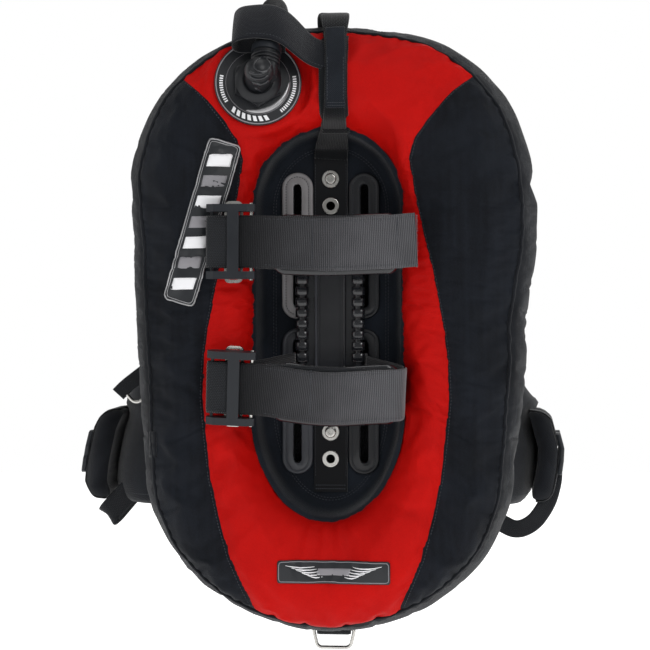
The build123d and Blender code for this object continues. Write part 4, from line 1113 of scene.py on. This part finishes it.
patch_rim("side_patch_rim", 33.4, 180.4, 5.4, SIDE_AT, SIDE_TURN, 1.9, 0.9, SILVER)
patch_rim("side_patch_inner_rim", 29.0, 176.0, 4.0, SIDE_AT, SIDE_TURN, 2.0, 0.45, SILVER)
# plain slanted bars in place of any lettering
BAR_HALF, BAR_TALL, BAR_SLANT, BAR_PITCH = 11.5, 13, 7.0, 23.0
for k in range(7):
    low = -79 + k * BAR_PITCH
    bar = [(-BAR_HALF, low), (BAR_HALF, low + BAR_SLANT), (BAR_HALF, low + BAR_SLANT + BAR_TALL),
           (-BAR_HALF, low + BAR_TALL)]
    laid_patch(f"side_patch_bar_{k}", bar, SIDE_AT, SIDE_TURN, 2.05, WHITE_PRINT if k % 2 == 0 else GREY_PRINT,
               edge=0.15)
BOTTOM_AT, BOTTOM_TURN = (9.5, -602.0), 0.0
bottom_patch = laid_patch("bottom_patch_base", rounded_box(122, 24.5, 3), BOTTOM_AT, BOTTOM_TURN, 1.4,
                          PATCH_BLACK)
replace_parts(bottom_patch, "bottom_patch")
patch_rim("bottom_patch_rim", 118.5, 21.0, 2.4, BOTTOM_AT, BOTTOM_TURN, 1.95, 0.45, GREY_PRINT)
for side in (-1, 1):
    for k in range(5):
        inner, outer = 21 - k * 2.2, 52 - k * 6.0
        rise = 5.6 - k * 2.6
        shares = (0, 0.25, 0.5, 0.75, 1)
        upper = [(side * (inner + (outer - inner) * t), rise - 6.4 * t * (1 - t) + 1.6 * t) for t in shares]
        lower = [(u, v - 1.3 * (1 - abs(2 * t - 1) * 0.6)) for (u, v), t in zip(upper, shares)]
        shape = upper + lower[::-1]
        laid_patch(f"bottom_patch_stripe_{'l' if side < 0 else 'r'}{k}", shape, BOTTOM_AT, BOTTOM_TURN, 2.0,
                   WHITE_PRINT, edge=0.1)
laid_patch("bottom_patch_bar", [(-19, -3.6), (17, -3.6), (19, 3.6), (-17, 3.6)], BOTTOM_AT, BOTTOM_TURN, 2.0,
           GREY_PRINT, edge=0.1)
laid_patch("seam_tag", rounded_box(8.5, 29, 1.2), (-189.0, -467.0), 0, 1.3, EDGE_BLACK)

# ---------------------------------------------------------------- shoulder valve
valve_right = Vector((cos(VALVE_YAW), sin(VALVE_YAW), 0))
valve_up = VALVE_AXIS.cross(valve_right).normalized()
if valve_up.z < 0:
    valve_up = -valve_up


def on_valve(radius, degrees, out):
    a = radians(degrees)
    return VALVE_AT + (valve_right * cos(a) + valve_up * sin(a)) * radius + VALVE_AXIS * out


FLANGE_TOP = 3.3
for name, radius, thick in (("flange_rim_line", 45.2, 0.7), ("flange_inner_line", 34.6, 0.35)):
    line = [on_valve(radius, 3 * k, FLANGE_TOP + 0.1) for k in range(120)]
    tube(name, line, thick, GREY_PRINT, closed=True, sides=8)


def ring_mark(name, start, end, inner, outer, slant=0.0):
    """A flat raised mark on the flange between two angles."""
    steps = max(2, round(abs(end - start) / 2))
    verts, faces = [], []
    for k in range(steps + 1):
        a = start + (end - start) * k / steps
        for radius, lean in ((inner, -slant), (outer, slant)):
            for out in (FLANGE_TOP - 0.3, FLANGE_TOP + 0.25):
                verts.append(on_valve(radius, a + lean, out))
    for k in range(steps):
        b, n = 4 * k, 4 * k + 4
        faces += [(b + 1, n + 1, n + 3, b + 3), (b, b + 2, n + 2, n), (b, n, n + 1, b + 1),
                  (b + 2, b + 3, n + 3, n + 2)]
    faces += [(0, 1, 3, 2), (4 * steps, 4 * steps + 2, 4 * steps + 3, 4 * steps + 1)]
    return piece(name, verts, faces, WHITE_PRINT, smooth=False)


marks = [(226 + 9 * k, 231.5 + 9 * k, 36.8, 42.6, 1.4) for k in range(7)]
marks += [(168 + 3.8 * k, 170.2 + 3.8 * k, 37.8, 41.6, 0) for k in range(12)]
marks += [(-52 + 3.8 * k, -49.8 + 3.8 * k, 37.8, 41.6, 0) for k in range(17)]
for k, (start, end, inner, outer, slant) in enumerate(marks):
    ring_mark(f"flange_mark_{k}", start, end, inner, outer, slant)
# painted highlight: a silver dished arc round the lower right of the nut stands in for the light caught there
verts = []
ARC_STEPS = 45
for k in range(ARC_STEPS + 1):
    a = -112 + 112 * k / ARC_STEPS
    swell = sin(pi * k / ARC_STEPS) ** 0.5
    for radius, out in ((33.9 - 5.6 * swell, 6.45), (33.9 - 4.6 * swell, 7.2), (33.7, 6.9), (34.3, 5.6)):
        verts.append(on_valve(radius, a, out))
piece("flange_bright_ring", verts, quads(ARC_STEPS + 1, 4, wrap_across=False, flip=True), SILVER)


def surface_of(node_name):
    """A hit test on one of the frame's own meshes, in millimetres."""
    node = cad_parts[node_name]
    corners = [node.matrix_world @ v.co / MM for v in node.data.vertices]
    return BVHTree.FromPolygons(corners, [tuple(p.vertices) for p in node.data.polygons])


elbow_surface = surface_of("elbow_body")


def elbow_line(name, points, thick, closed=False):
    """A raised moulding on the elbow's front along points given as (x, z)."""
    line = [elbow_surface.ray_cast(Vector((x, -300, z)), Vector((0, 1, 0)))[0] for x, z in points]
    tube(name, [p for p in line if p is not None], thick, VALVE_GLOSS, closed=closed, sides=8)


for k in range(4):
    half = 9.6 - 0.7 * k
    row = []
    for j in range(19):
        u = -1 + 2 * j / 18
        row.append((-65.2 + 0.5 * k + half * u, -71.5 - 4.9 * k + 3.4 * u * u + 0.8 * u))
    elbow_line(f"elbow_rib_{k}", row, 1.55)
drop = []
for j in range(48):
    a = 2 * pi * j / 48
    narrow = 1 - 0.55 * smoothstep(-0.2, 1.0, cos(a))
    drop.append((-61.8 + 8.6 * narrow * sin(a), -60.5 + 8.6 * cos(a)))
elbow_line("elbow_drop", drop, 1.0, closed=True)
neck_start = Vector(HOSE_ROUTE[0]) / MM
neck_way = (Vector(HOSE_ROUTE[1]) / MM - neck_start).normalized()
neck_side = Vector((1, 0, 0))
neck_over = neck_way.cross(neck_side).normalized()
for k, back in enumerate((3.0, 7.2, 11.4)):
    ring = []
    for a in range(0, 360, 10):
        way = neck_side * cos(radians(a)) + neck_over * sin(radians(a))
        ring.append(neck_start - neck_way * back + way * 14.6)
    tube(f"neck_rib_{k}", ring, 1.25, VALVE, closed=True, sides=10)
cone = ((25.0, 13.4), (24.6, 14.6), (17.5, 19.4), (16.2, 19.6), (15.2, 18.6))
verts = [on_valve(radius, a, out) for radius, out in cone for a in range(0, 360, 6)]
piece("nut_cone", verts, quads(len(cone), 60), VALVE)
for k in range(6):
    corner_a, corner_b = on_valve(27.6, 30 + 60 * k, 13.5), on_valve(27.6, 90 + 60 * k, 13.5)
    tube(f"nut_edge_{k}", [corner_a, corner_b], 0.55, TRIM, sides=6)

# ---------------------------------------------------------------- hose keeper strap
def round_lobe(x, radius, degrees):
    """A point on the cell's rounded top: radius about the lobe's centre line, angle up from the front."""
    a = radians(degrees)
    return Vector((x, -30 - radius * cos(a), -60 + radius * sin(a)))


# the strap's middle line as (x, radius, lower angle, upper angle)
KEEPER = [(-43, 47.8, 20, 54), (-70, 47.8, 20, 54), (-90, 48.2, 20, 53), (-96.5, 54, 19, 51), (-97.8, 66, 18, 49),
          (-96.5, 78, 18, 49), (-90, 83.5, 19, 50.5), (-74, 85, 20, 51.5), (-55, 84.6, 19, 51.5),
          (-42, 80, 16, 50),
          (-30, 70, 10, 46), (-18, 57, 3, 40.5), (-9, 50.5, -1, 37), (2, 48.8, -4, 34)]


def keeper_strap():
    """The hook-and-loop strap that wraps the hose and runs back under the handle."""
    rows = []
    for a, b in zip(KEEPER, KEEPER[1:]):
        for t in (0, 0.25, 0.5, 0.75):
            rows.append([a[c] + (b[c] - a[c]) * t for c in range(4)])
    rows.append(list(KEEPER[-1]))
    for _ in range(3):
        rows = [rows[0]] + [[(p[c] + 2 * q[c] + r[c]) / 4 for c in range(4)]
                            for p, q, r in zip(rows, rows[1:], rows[2:])] + [rows[-1]]
    across = 18
    middle = []
    for x, radius, low, high in rows:
        line = []
        for j in range(across + 1):
            degrees = low + (high - low) * j / across
            sag = 0.7 * noise.noise(Vector((x * 0.05, degrees * 0.05, 4.0)))
            line.append(round_lobe(x, radius + sag, degrees))
        middle.append(line)
    verts, uvs = [], []
    count, wide = len(rows), across + 1
    for side in (1, -1):
        travelled = 0.0
        for i in range(count):
            before, after = middle[max(0, i - 1)], middle[min(count - 1, i + 1)]
            if i:
                travelled += (middle[i][9] - middle[i - 1][9]).length
            for j in range(wide):
                along = (after[j] - before[j]).normalized()
                over = (middle[i][min(across, j + 1)] - middle[i][max(0, j - 1)]).normalized()
                verts.append(middle[i][j] + along.cross(over).normalized() * (side * 0.95))
                uvs.append((travelled * MM, j * 1.9 * MM))
    shift = count * wide
    faces = quads(count, wide, wrap_across=False, flip=True)
    faces += quads(count, wide, wrap_across=False, base=shift)
    for i in range(count - 1):
        a, b = i * wide, (i + 1) * wide
        faces.append((a, shift + a, shift + b, b))
        a, b = a + across, b + across
        faces.append((b, shift + b, shift + a, a))
    for j in range(across):
        last = (count - 1) * wide
        faces.append((j + 1, shift + j + 1, shift + j, j))
        faces.append((last + j, shift + last + j, shift + last + j + 1, last + j + 1))
    obj = piece("keeper_cloth", verts, faces, KEEPER_CLOTH, uvs=uvs)
    for column, label in ((2, "low"), (across - 2, "high")):
        line = [middle[i][column] + Vector((0, -1.15, 0)) for i in range(26, count)]
        front_stitches(f"keeper_stitches_{label}", line, "webbing", thick=0.3)
    return obj


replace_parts(keeper_strap(), "hose_keeper_strap")

# ---------------------------------------------------------------- tank bands, as height, tilt and slope
SAG = {"upper": 2.2, "lower": 6.0}
BANDS = {"upper": (-250.0, -2.0, 0.0), "lower": (-395.0, 8.0, 2.5)}


def sag(band, x):
    """How far the band hangs down between its ends."""
    return SAG[band] * sin(pi * smoothstep(-84, 84, x))


for band, (height, tilt, slope) in BANDS.items():
    turn = Matrix.Rotation(radians(tilt), 3, "X") @ Matrix.Rotation(radians(slope), 3, "Y")
    across = turn @ Vector((0, 0, 1))

    def local(points, turn=turn, height=height):
        return [Vector((0, 0, height)) + turn @ Vector((u, v, w)) for u, v, w in points]

    rise = 0.0 if band == "upper" else -1.5
    behind = [(-39.5, -13, 0), (-39.5, 11.6, 0), (39.5, 11.6, 0), (39.5, -13, 0)]
    lifted = Vector((0, 0, height + rise))
    webbing(f"{band}_band_through", [p + lifted for p in rounded(behind, 5)], (0, 0, 1), 56, 2.4)
    outer = [(-81, -80, 0), (-70, -68, 0), (-39.5, -12.5, 0)]
    webbing(f"{band}_band_left", local(rounded(outer, 8)), across, 56, 2.4)
    loop = [(39.5, -12.5, 0), (60, -38, 0), (82, -62, 0), (83.5, -80, 0), (76, -89.6, 0), (50, -90.2, 0),
            (-64, -89.7, 0)]
    right = webbing(f"{band}_band_loop", local(rounded(loop, 16)), across, 55.4, 2.2, wave=0.3)
    if band == "upper":
        front = [(-92, -94.0, 0), (-70, -93.0, 0), (-30, -93.6, -0.5), (30, -93.9, -1.2), (72, -93.4, -0.6),
                 (88, -94.6, 0.8), (99, -96.4, 1.5)]
        widths = (56, 57.5)
    else:
        front = [(-92, -94.0, 0), (-70, -93.0, 0), (-30, -93.6, 0), (30, -94.0, 0), (62, -93.6, 0), (76, -92.0, 0),
                 (84.5, -86, 0), (86, -76, 0)]
        widths = (56, 56.5)
    line = local(rounded(front, 22, 2.0))
    line = [q - across * sag(band, q.x) for q in line]
    width = [widths[0] + (widths[1] - widths[0]) * k / len(line) for k in range(len(line))]
    sheet = ribbon(f"{band}_band_front", line, across, width, 2.2, BAND_WEBBING, "webbing", None, wave=0.9,
                   cells=22, seed=3.0 if band == "upper" else 8.0)
    lever = f"{band}_lever"
    start, end = local([(-90, -93, 0), (-52, -93, 0)])
    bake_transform(sheet)
    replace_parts(right, f"{band}_tank_band")
    for offset in (-24.6, 24.6):
        row = [p + across * offset + turn @ Vector((0, -1.5, 0)) for p in line[14:]]
        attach(stitches(f"{band}_band_edge_{'low' if offset < 0 else 'high'}", row,
                         [turn @ Vector((0, -1, 0))] * len(row), THREAD, "webbing", thick=0.28, pitch=4.4), "root")
    if band == "upper":
        verts, faces = [], []
        for k in range(70):
            w = -28 + 56 * (k + 0.5) / 70
            grow = 1.6 + 2.6 * abs(noise.noise(Vector((k * 1.7, 3.1, 0))))
            drift = 1.2 * noise.noise(Vector((k * 0.9, 8.0, 2.0)))
            tip = (98.4 + grow, -96.9 + drift * 0.4)
            front_face = local([(98.4, -96.2, w - 0.3), (98.4, -96.2, w + 0.3), (*tip, w + 0.12 + drift),
                                (*tip, w - 0.12 + drift)])
            base = len(verts)
            back = turn @ Vector((0, 0.35, 0))
            verts += front_face + [p + back for p in front_face]
            faces += quads(2, 4, flip=True, base=base) + caps(2, 4, flip=True, base=base)
        piece("upper_band_fray", verts, faces, PALE_THREAD)
    for place in ((-12.0, 78.5) if band == "upper" else (-14.0,)):
        row = local([(place, -94.9, w) for w in range(-25, 26, 2)])
        stitches(f"{band}_band_tack_{int(place + 20)}", row, [turn @ Vector((0, -1, 0))] * len(row), THREAD,
                 "webbing", pitch=2.9, long=2.2, thick=0.55)
    roll = [(-86, -86.6, 0), (-119, -86.4, 0), (-125.6, -88.4, 0), (-125.6, -92.6, 0), (-119, -94.6, 0),
            (-92, -94.3, 0)]
    rolled = webbing(f"{band}_band_wrap", local(rounded(roll, 3.2, 1.2)), across, 56, 2.2, lever)
    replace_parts(rolled, f"{band}_band_roll")
    # the curved rubber plate that grips the cylinder
    plate = [(-64, -84.9, 0), (-20, -85.2, 0), (40, -85.2, 0), (70, -84.6, 0), (77.5, -78, 0), (77.0, -66, 0)]
    plate_line = local(rounded(plate, 12, 2.0))
    plate_width = tapered(len(plate_line), 2.0, 64.5, 26, 22)
    drop = 1.8 if band == "upper" else 0.0
    plate_line = [q - across * (drop + sag(band, q.x)) for q in plate_line]
    pad = ribbon(f"{band}_rubber_plate", plate_line, across, plate_width, 4.6, RUBBER_GLOSS, "rubber", cells=20)
    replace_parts(pad, f"{band}_band_pad")

# ---------------------------------------------------------------- padded harness
def soft_smooth(obj, rounds):
    bm = bmesh.new()
    bm.from_mesh(obj.data)
    for _ in range(rounds):
        bmesh.ops.smooth_vert(bm, verts=bm.verts, factor=0.5, use_axis_x=True, use_axis_y=True, use_axis_z=True)
    bm.to_mesh(obj.data)
    bm.free()
    obj.data.update()


def puffed(name, source, material, slot, body, voxel=4.5, frames=14, pressure=4.0, cap=5.0, shape=None, rounds=3,
           pinned=None, fill=0.6):
    """A padded piece: a closed mesh remeshed evenly, inflated as cloth, then subdivided once."""
    obj = bpy.data.objects.new(name, source)
    bpy.context.collection.objects.link(obj)
    remesh = obj.modifiers.new("even", "REMESH")
    remesh.mode = "VOXEL"
    remesh.voxel_size = voxel * MM
    dg = bpy.context.evaluated_depsgraph_get()
    mesh = bpy.data.meshes.new_from_object(obj.evaluated_get(dg))
    obj.modifiers.clear()
    obj.data = mesh
    mesh.materials.clear()
    mesh.materials.append(material)
    soft_smooth(obj, rounds)
    held = []
    if pinned:
        held = [(v.index, 1.0) for v in mesh.vertices if pinned(v.co / MM)]
    smooth_cloth(obj, held, frames, pressure, cap, -0.02)
    for v in obj.data.vertices:
        q = v.co / MM
        crease = noise.noise(q * 0.035) * 1.1 - abs(noise.noise(q * 0.07 + Vector((5, 1, 2)))) * 0.9
        v.co = v.co + v.normal * (crease * MM)
        if shape:
            v.co = shape(v.co / MM) * MM
    mesh.polygons.foreach_set("use_smooth", [True] * len(mesh.polygons))
    extra = obj.modifiers.new("smooth", "SUBSURF")
    extra.levels = extra.render_levels = 1
    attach(obj, body)
    return obj


def slab(name, outline, thick_from, thick_to):
    """A closed mesh (metres) from an outline of (x, z) points, between two y values."""
    count = len(outline)
    verts = [Vector((x, y, z)) * MM for y in (thick_from, thick_to) for x, z in outline]
    faces = [tuple(range(count)), tuple(reversed(range(count, 2 * count)))]
    for i in range(count):
        k = (i + 1) % count
        faces.append((i, count + i, count + k, k))
    mesh = bpy.data.meshes.new(name)
    mesh.from_pydata(verts, [], faces)
    return mesh


# the back pad: a stadium cushion with sewn channels
BACK_MID, BACK_STRAIGHT = -331.5, 224
outline = [(x, z) for x, z, _ in stadium(0, BACK_MID, 74, BACK_STRAIGHT, 90)]
back_cushion = puffed("back_cushion", slab("back_cushion", outline, 17.5, 41), MESH_BLACK, "pad_fabric", "root",
                      voxel=5.0, cap=6.0, pinned=lambda q: q.y < 19)
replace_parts(back_cushion, "back_pad")
for v in back_cushion.data.vertices:
    q = v.co / MM
    if q.y > 28:
        rows = min(abs(q.z - z) for z in (-235, -300, -365, -430))
        inside = smoothstep(20, 60, 190 - abs(q.z + 331))
        down = 5.5 * exp(-((rows / 4.0) ** 2)) + 5.5 * exp(-((q.x / 4.0) ** 2)) * inside
        v.co.y -= min(down, 6.5) * MM
piping = [(x, 20.0, z) for x, z, _ in stadium(0, BACK_MID, 75.5, BACK_STRAIGHT, 160)]
tube("back_cushion_piping", piping, 2.0, EDGE_BLACK, closed=True)

# shoulder straps: padded ribbons with a sewn edge, in the part's leaning planes
STRAP_SIDE = [(0, -168), (0, -95), (28, -52), (66, -52), (102, -100), (106, -290)]
STRAP_YAW = radians(14)
for side, label in ((-1, "left"), (1, "right")):
    out = Vector((side * sin(STRAP_YAW), cos(STRAP_YAW), 0))
    over = Vector((cos(STRAP_YAW), -side * sin(STRAP_YAW), 0))
    base = Vector((side * 52, 52, 0))
    line = rounded([base + out * u + Vector((0, 0, z)) for u, z in STRAP_SIDE], 34, 3.0)
    strap = ribbon(f"shoulder_strap_pad_{label}", line, over, tapered(len(line), 3.0, 61, 16, 26), 9.4, PAD_BLACK,
                   "pad_fabric", wave=0.8, cells=20, seed=side)
    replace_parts(strap, f"shoulder_strap_{label}")
    directions = tangents(line)
    for offset, tag in ((-25, "a"), (25, "b")):
        row = [p + over * offset + d.cross(over) * (-5.0) for p, d in zip(line[6:-6], directions[6:-6])]
        ups = [d.cross(over) * -1 for d in directions[6:-6]]
        stitches(f"strap_stitches_{label}_{tag}", row, ups, PALE_THREAD, "pad_fabric", pitch=4.2)
    # the load webbing on top of the pad
    run = [p + d.cross(over) * (-6.2) for p, d in zip(line[4:-2], directions[4:-2])]
    webbing(f"strap_webbing_{label}", run, over, 37, 2.2)

# waist pads, pockets and pouches: side, reach from the middle, pocket thickness; LEAN draws them in by height
WAIST_Z = -488.0
WAIST = {"left": (-1, 258.0, 24.0), "right": (1, 236.0, 22.0)}
PAD_TALL, PAD_THICK, CREST = 111, 13.4, 58
POCKET_FRONT, POCKET_FLOOR, POCKET_END = 92, 96, 186
POUCH_BACK, POUCH_FRONT = 98, 185
LEAN = {"left": [(-380, 30), (-436, 22), (-446, 13), (-458, 7), (-480, 2), (-500, -2), (-520, -4), (-560, 10)],
        "right": [(-380, 40), (-436, 31), (-446, 22), (-458, 19), (-480, 13), (-500, 14), (-531, 20), (-575, 38)]}


def leaned(label):
    side, reach, _ = WAIST[label]
    table = LEAN[label]

    def shape(q):
        for (z0, a), (z1, b) in zip(table, table[1:]):
            if q.z >= z1:
                lean = a + (b - a) * (q.z - z0) / (z1 - z0)
                break
        else:
            lean = table[-1][1]
        share = smoothstep(reach - 75, reach - 10, abs(q.x))
        return Vector((q.x - side * lean * share, q.y, q.z))

    return shape


def pocket_ring(half_t, half_z, corner, count=56):
    """A rounded rectangle in x and z about the origin."""
    corners = rounded_box(2 * half_t, 2 * half_z, corner, 6)
    line = [Vector((u, 0, v)) for u, v in corners]
    return resample(line + [line[0]], 2 * (2 * half_t + 2 * half_z) / count)[:-1]


for label, (side, reach, thick) in WAIST.items():
    shape = leaned(label)
    pad_run = [(side * 64, 54.5, WAIST_Z), (side * (reach - 62), 60, WAIST_Z), (side * (reach - 6), 104, WAIST_Z),
               (side * reach, 202, WAIST_Z)]
    line = rounded(pad_run, 44, 4.0)
    pad = ribbon(f"waist_cushion_{label}", line, (0, 0, 1), tapered(len(line), 4.0, PAD_TALL, 22, 30), PAD_THICK,
                 PAD_BLACK, "pad_fabric", wave=1.6, cells=26, seed=side * 2.0)
    for v in pad.data.vertices:
        q = v.co / MM
        far = abs(q.x) + (258 - reach)
        rise = CREST * smoothstep(150, 196, far) * (1 - smoothstep(212, 266, far))
        if q.z > WAIST_Z:
            q.z += rise * (q.z - WAIST_Z) / 55
        v.co = shape(q).lerp(q, 0.8 * smoothstep(-455, -425, q.z)) * MM
    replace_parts(pad, f"waist_pad_{label}")
    directions = tangents(line)
    for high in (-45, 45):
        row = [shape(p + Vector((0, 0, high)) + d.cross(Vector((0, 0, 1))) * side * 7.4)
               for p, d in zip(line[4:-4], directions[4:-4])]
        ups = [d.cross(Vector((0, 0, 1))) * side for d in directions[4:-4]]
        stitches(f"waist_stitches_{label}_{'up' if high > 0 else 'low'}", row, ups, THREAD, "pad_fabric")
    # the pocket sleeve, open at the front
    middle = side * (reach + 6 + thick / 2)
    outer, inner = pocket_ring(thick / 2, 50, 8), pocket_ring(thick / 2 - 2.4, 47.4, 6)
    levels = range(POCKET_FRONT, POCKET_END + 1, 2)
    verts, faces = [], []
    walls = []
    for ring, out in ((outer, 1), (inner, -1)):
        for y in levels if out > 0 else [v for v in levels if v >= POCKET_FLOOR]:
            start = len(verts)
            for q in ring:
                crease = 0.8 * noise.noise(Vector((q.x * 0.05, y * 0.06, q.z * 0.05 + side))) if out > 0 else 0
                verts.append(shape(Vector((middle + q.x, y, WAIST_Z + q.z + crease))))
            walls.append((start, len(ring), out))
    for (a, count, kind), (b, other, next_kind) in zip(walls, walls[1:]):
        if kind == next_kind:
            for k in range(count):
                m = (k + 1) % count
                faces.append((a + k, b + k, b + m, a + m) if kind > 0 else (a + k, a + m, b + m, b + k))
    first = walls[0]
    faces.append(tuple(first[0] + k for k in range(first[1])))
    last_out = [w for w in walls if w[2] > 0][-1]
    last_in = walls[-1]
    near = []
    for k in range(last_out[1]):
        p = verts[last_out[0] + k]
        near.append(min(range(last_in[1]), key=lambda m: (verts[last_in[0] + m] - p).length))
    for k in range(last_out[1]):
        m = (k + 1) % last_out[1]
        quad = [last_out[0] + k, last_out[0] + m, last_in[0] + near[m], last_in[0] + near[k]]
        faces.append(tuple(dict.fromkeys(quad)))
    back = [w for w in walls if w[2] < 0][0]
    faces.append(tuple(back[0] + k for k in reversed(range(back[1]))))
    piece(f"pocket_sleeve_{label}", verts, faces, PAD_BLACK)
    rim = [shape(Vector((middle + q.x, POCKET_END + 0.5, WAIST_Z + q.z)))
           for q in pocket_ring(thick / 2 - 1.0, 49, 7)]
    tube(f"pocket_binding_{label}", rim, 1.8, EDGE_BLACK, closed=True)
    # the weight pouch slides out forwards by its grab handle
    outline = [(middle + u, WAIST_Z + v) for u, v in rounded_box(thick - 7.4, 91, 3.4, 4)]
    body = f"{label}_pouch"
    source = slab(f"pouch_{label}", outline, POUCH_BACK, POUCH_FRONT)
    pouch = puffed(f"pouch_{label}", source, SIDE_BLACK, "black_fabric", body, voxel=3.4, cap=0.6, shape=shape,
                   rounds=1, frames=6, fill=0.8)
    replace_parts(pouch, f"weight_pouch_{label}")
    grab = [(middle, 183, WAIST_Z - 20), (middle, 199, WAIST_Z - 23), (middle, 210, WAIST_Z - 16),
            (middle, 211, WAIST_Z + 16), (middle, 199, WAIST_Z + 23), (middle, 183, WAIST_Z + 20)]
    grab_line = [shape(p) for p in rounded(grab, 9, 2.0)]
    webbing(f"pouch_grab_{label}", grab_line, (1, 0, 0), 19 if label == "left" else 17, 3.0, body)
    # a strap with a small buckle closes the pocket on its outer face
    face = side * (reach + 7.6 + thick)
    for y, tag in ((108, "a"), (150, "b")):
        loop = [(face - side * 16, y, WAIST_Z + 52), (face - side * 2, y, WAIST_Z + 50), (face, y, WAIST_Z + 40),
                (face + side * 0.3, y, WAIST_Z), (face, y, WAIST_Z - 40), (face - side * 3, y, WAIST_Z - 51),
                (face - side * 16, y, WAIST_Z - 52)]
        webbing(f"pocket_strap_{label}_{tag}", [shape(p) for p in rounded(loop, 8, 2.0)], (0, 1, 0), 25, 2.0)
        clip = ((26, 9), (24, 13), (8, 14.5), (-2, 13), (-6, 14.5), (-20, 13.5), (-22, 10))
        verts = []
        for z, half in clip:
            for u, v in rounded_box(5.6, 2 * half, 2.2, 3):
                verts.append(shape(Vector((face + side * 3.2 + u, y + v, WAIST_Z + z))))
        wide = len(verts) // len(clip)
        faces = quads(len(clip), wide) + caps(len(clip), wide, flip=True)
        piece(f"pocket_clip_{label}_{tag}", verts, faces, BUCKLE, smooth=False)
    # a free end of webbing hangs below the pocket, its face to the rear
    if label == "left":
        low = [(-230, 100, -520), (-250, 98, -539), (-265, 97, -556), (-268, 100, -562), (-262, 104, -557),
               (-246, 105, -538), (-230, 106, -520)]
        wide = 27
    else:
        low = [(246, 112, -492), (247, 108, -515), (240, 103, -542), (224, 99, -565), (204, 97, -574),
               (182, 97, -562)]
        wide = 20
    low_line = rounded(low, 12, 2.0)
    facing = [d.cross(Vector((0.15, -1, 0))) for d in tangents(low_line)]
    if label == "left":
        facing = [Vector((0.62, 0.1, -0.78))] * len(low_line)
    webbing(f"pocket_loop_{label}", low_line, facing, wide, 2.2, wave=0.6)
    # the belt
    belt = [shape(Vector((side * (reach - 1.5), 205, WAIST_Z))), (side * (reach - 48), 217.6, WAIST_Z),
            (side * 9, 217.6, WAIST_Z)]
    webbing(f"belt_webbing_{label}", rounded(belt, 14, 3.0), (0, 0, 1), 50, 2.4)
    high, foot = Vector((side * 90, 154, -357)), Vector((side * (reach - 52), 88, -430))
    across = (foot - high).cross(Vector((side * 0.5, 0.85, 0.1))).normalized()
    webbing(f"load_webbing_{label}", resample([high, foot], 3.0), across, 38, 2.4)
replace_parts(bpy.data.objects["belt_webbing_left"], "waist_belt")
flap = rounded([(-190, 60, -374), (-214, 60.5, -389), (-240, 61, -409), (-249, 62, -418)], 12, 2.0)
webbing("ring_flap", flap, (0.55, 0.25, -0.8), 17, 2.6)
chest_ends = [Vector((-58, 169.5, -195)), Vector((58, 169.5, -195))]
chest = webbing("chest_webbing", resample(chest_ends, 3.0), (0, 0, 1), 25, 1.8)
HOLD_AT, HOLD_R = (-119, 174.2), 19
hold = [Vector((HOLD_AT[0] + HOLD_R * cos(radians(a)), HOLD_AT[1] + HOLD_R * sin(radians(a)), -150))
        for a in range(0, 361, 12)]
webbing("hose_hold", hold, (0, 0, 1), 25, 1.8)
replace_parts(chest, "harness_webbing")
crotch = [(13.6, -470), (13.6, -535), (37.5, -575), (37.5, -685.5), (45.5, -685.5), (45.5, -648)]
tab_line = [Vector((0, p.y, p.z)) for p in rounded([(0, y, z) for y, z in crotch], 3.6, 2.0)]
tab = webbing("crotch_webbing", tab_line, (1, 0, 0), 38, 2.4)
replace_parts(tab, "crotch_tab")

# ---------------------------------------------------------------- studio
LIT_AT = Vector((0, 0, -0.34))


def area_light(name, at, size, power):
    """A rectangular soft light at a place in metres, turned to the vest."""
    data = bpy.data.lights.new(name, "AREA")
    data.shape = "RECTANGLE"
    data.size, data.size_y = size
    data.energy = power
    obj = bpy.data.objects.new(name, data)
    obj.location = at
    obj.rotation_euler = (LIT_AT - Vector(at)).to_track_quat("-Z", "Y").to_euler()
    bpy.context.collection.objects.link(obj)


area_light("key", (1.5, -2.2, 1.3), (1.4, 1.4), 34)
area_light("fill", (-2.2, -1.9, 0.3), (1.6, 2.0), 11)
area_light("top", (0.0, -0.4, 2.0), (1.8, 1.4), 14)
area_light("rim_right", (2.2, 0.4, 0.1), (0.8, 2.0), 12)
area_light("rim_left", (-2.2, 0.6, 0.1), (0.8, 2.0), 7)
area_light("rear", (0.6, 2.4, 1.2), (1.8, 1.6), 18)
world = bpy.data.worlds.new("studio")
world.use_nodes = True
backdrop = world.node_tree.nodes["Background"]
backdrop.inputs["Color"].default_value = (1, 1, 1, 1)
seen = world.node_tree.nodes.new("ShaderNodeLightPath")
SKY_LIGHT, SKY_SEEN = 0.32, 1.0
extra = math_node(world.node_tree, "MULTIPLY", seen.outputs["Is Camera Ray"], SKY_SEEN - SKY_LIGHT)
world.node_tree.links.new(math_node(world.node_tree, "ADD", extra, SKY_LIGHT), backdrop.inputs["Strength"])
bpy.context.scene.world = world
FLOOR_Z, FLOOR_R = -0.735, 3.0
verts = [(FLOOR_R * cos(radians(a)), FLOOR_R * sin(radians(a)), FLOOR_Z) for a in range(0, 360, 5)]
faces = [tuple(range(len(verts)))]
SWEEP, _, sweep_shader = node_material("pale_sweep", (0.92, 0.92, 0.92), 0.9)
sweep_shader.inputs["Emission Color"].default_value = (1, 1, 1, 1)
sweep_shader.inputs["Emission Strength"].default_value = 0.75
floor = piece("floor_sweep", verts, faces, SWEEP, None, scale=1.0)
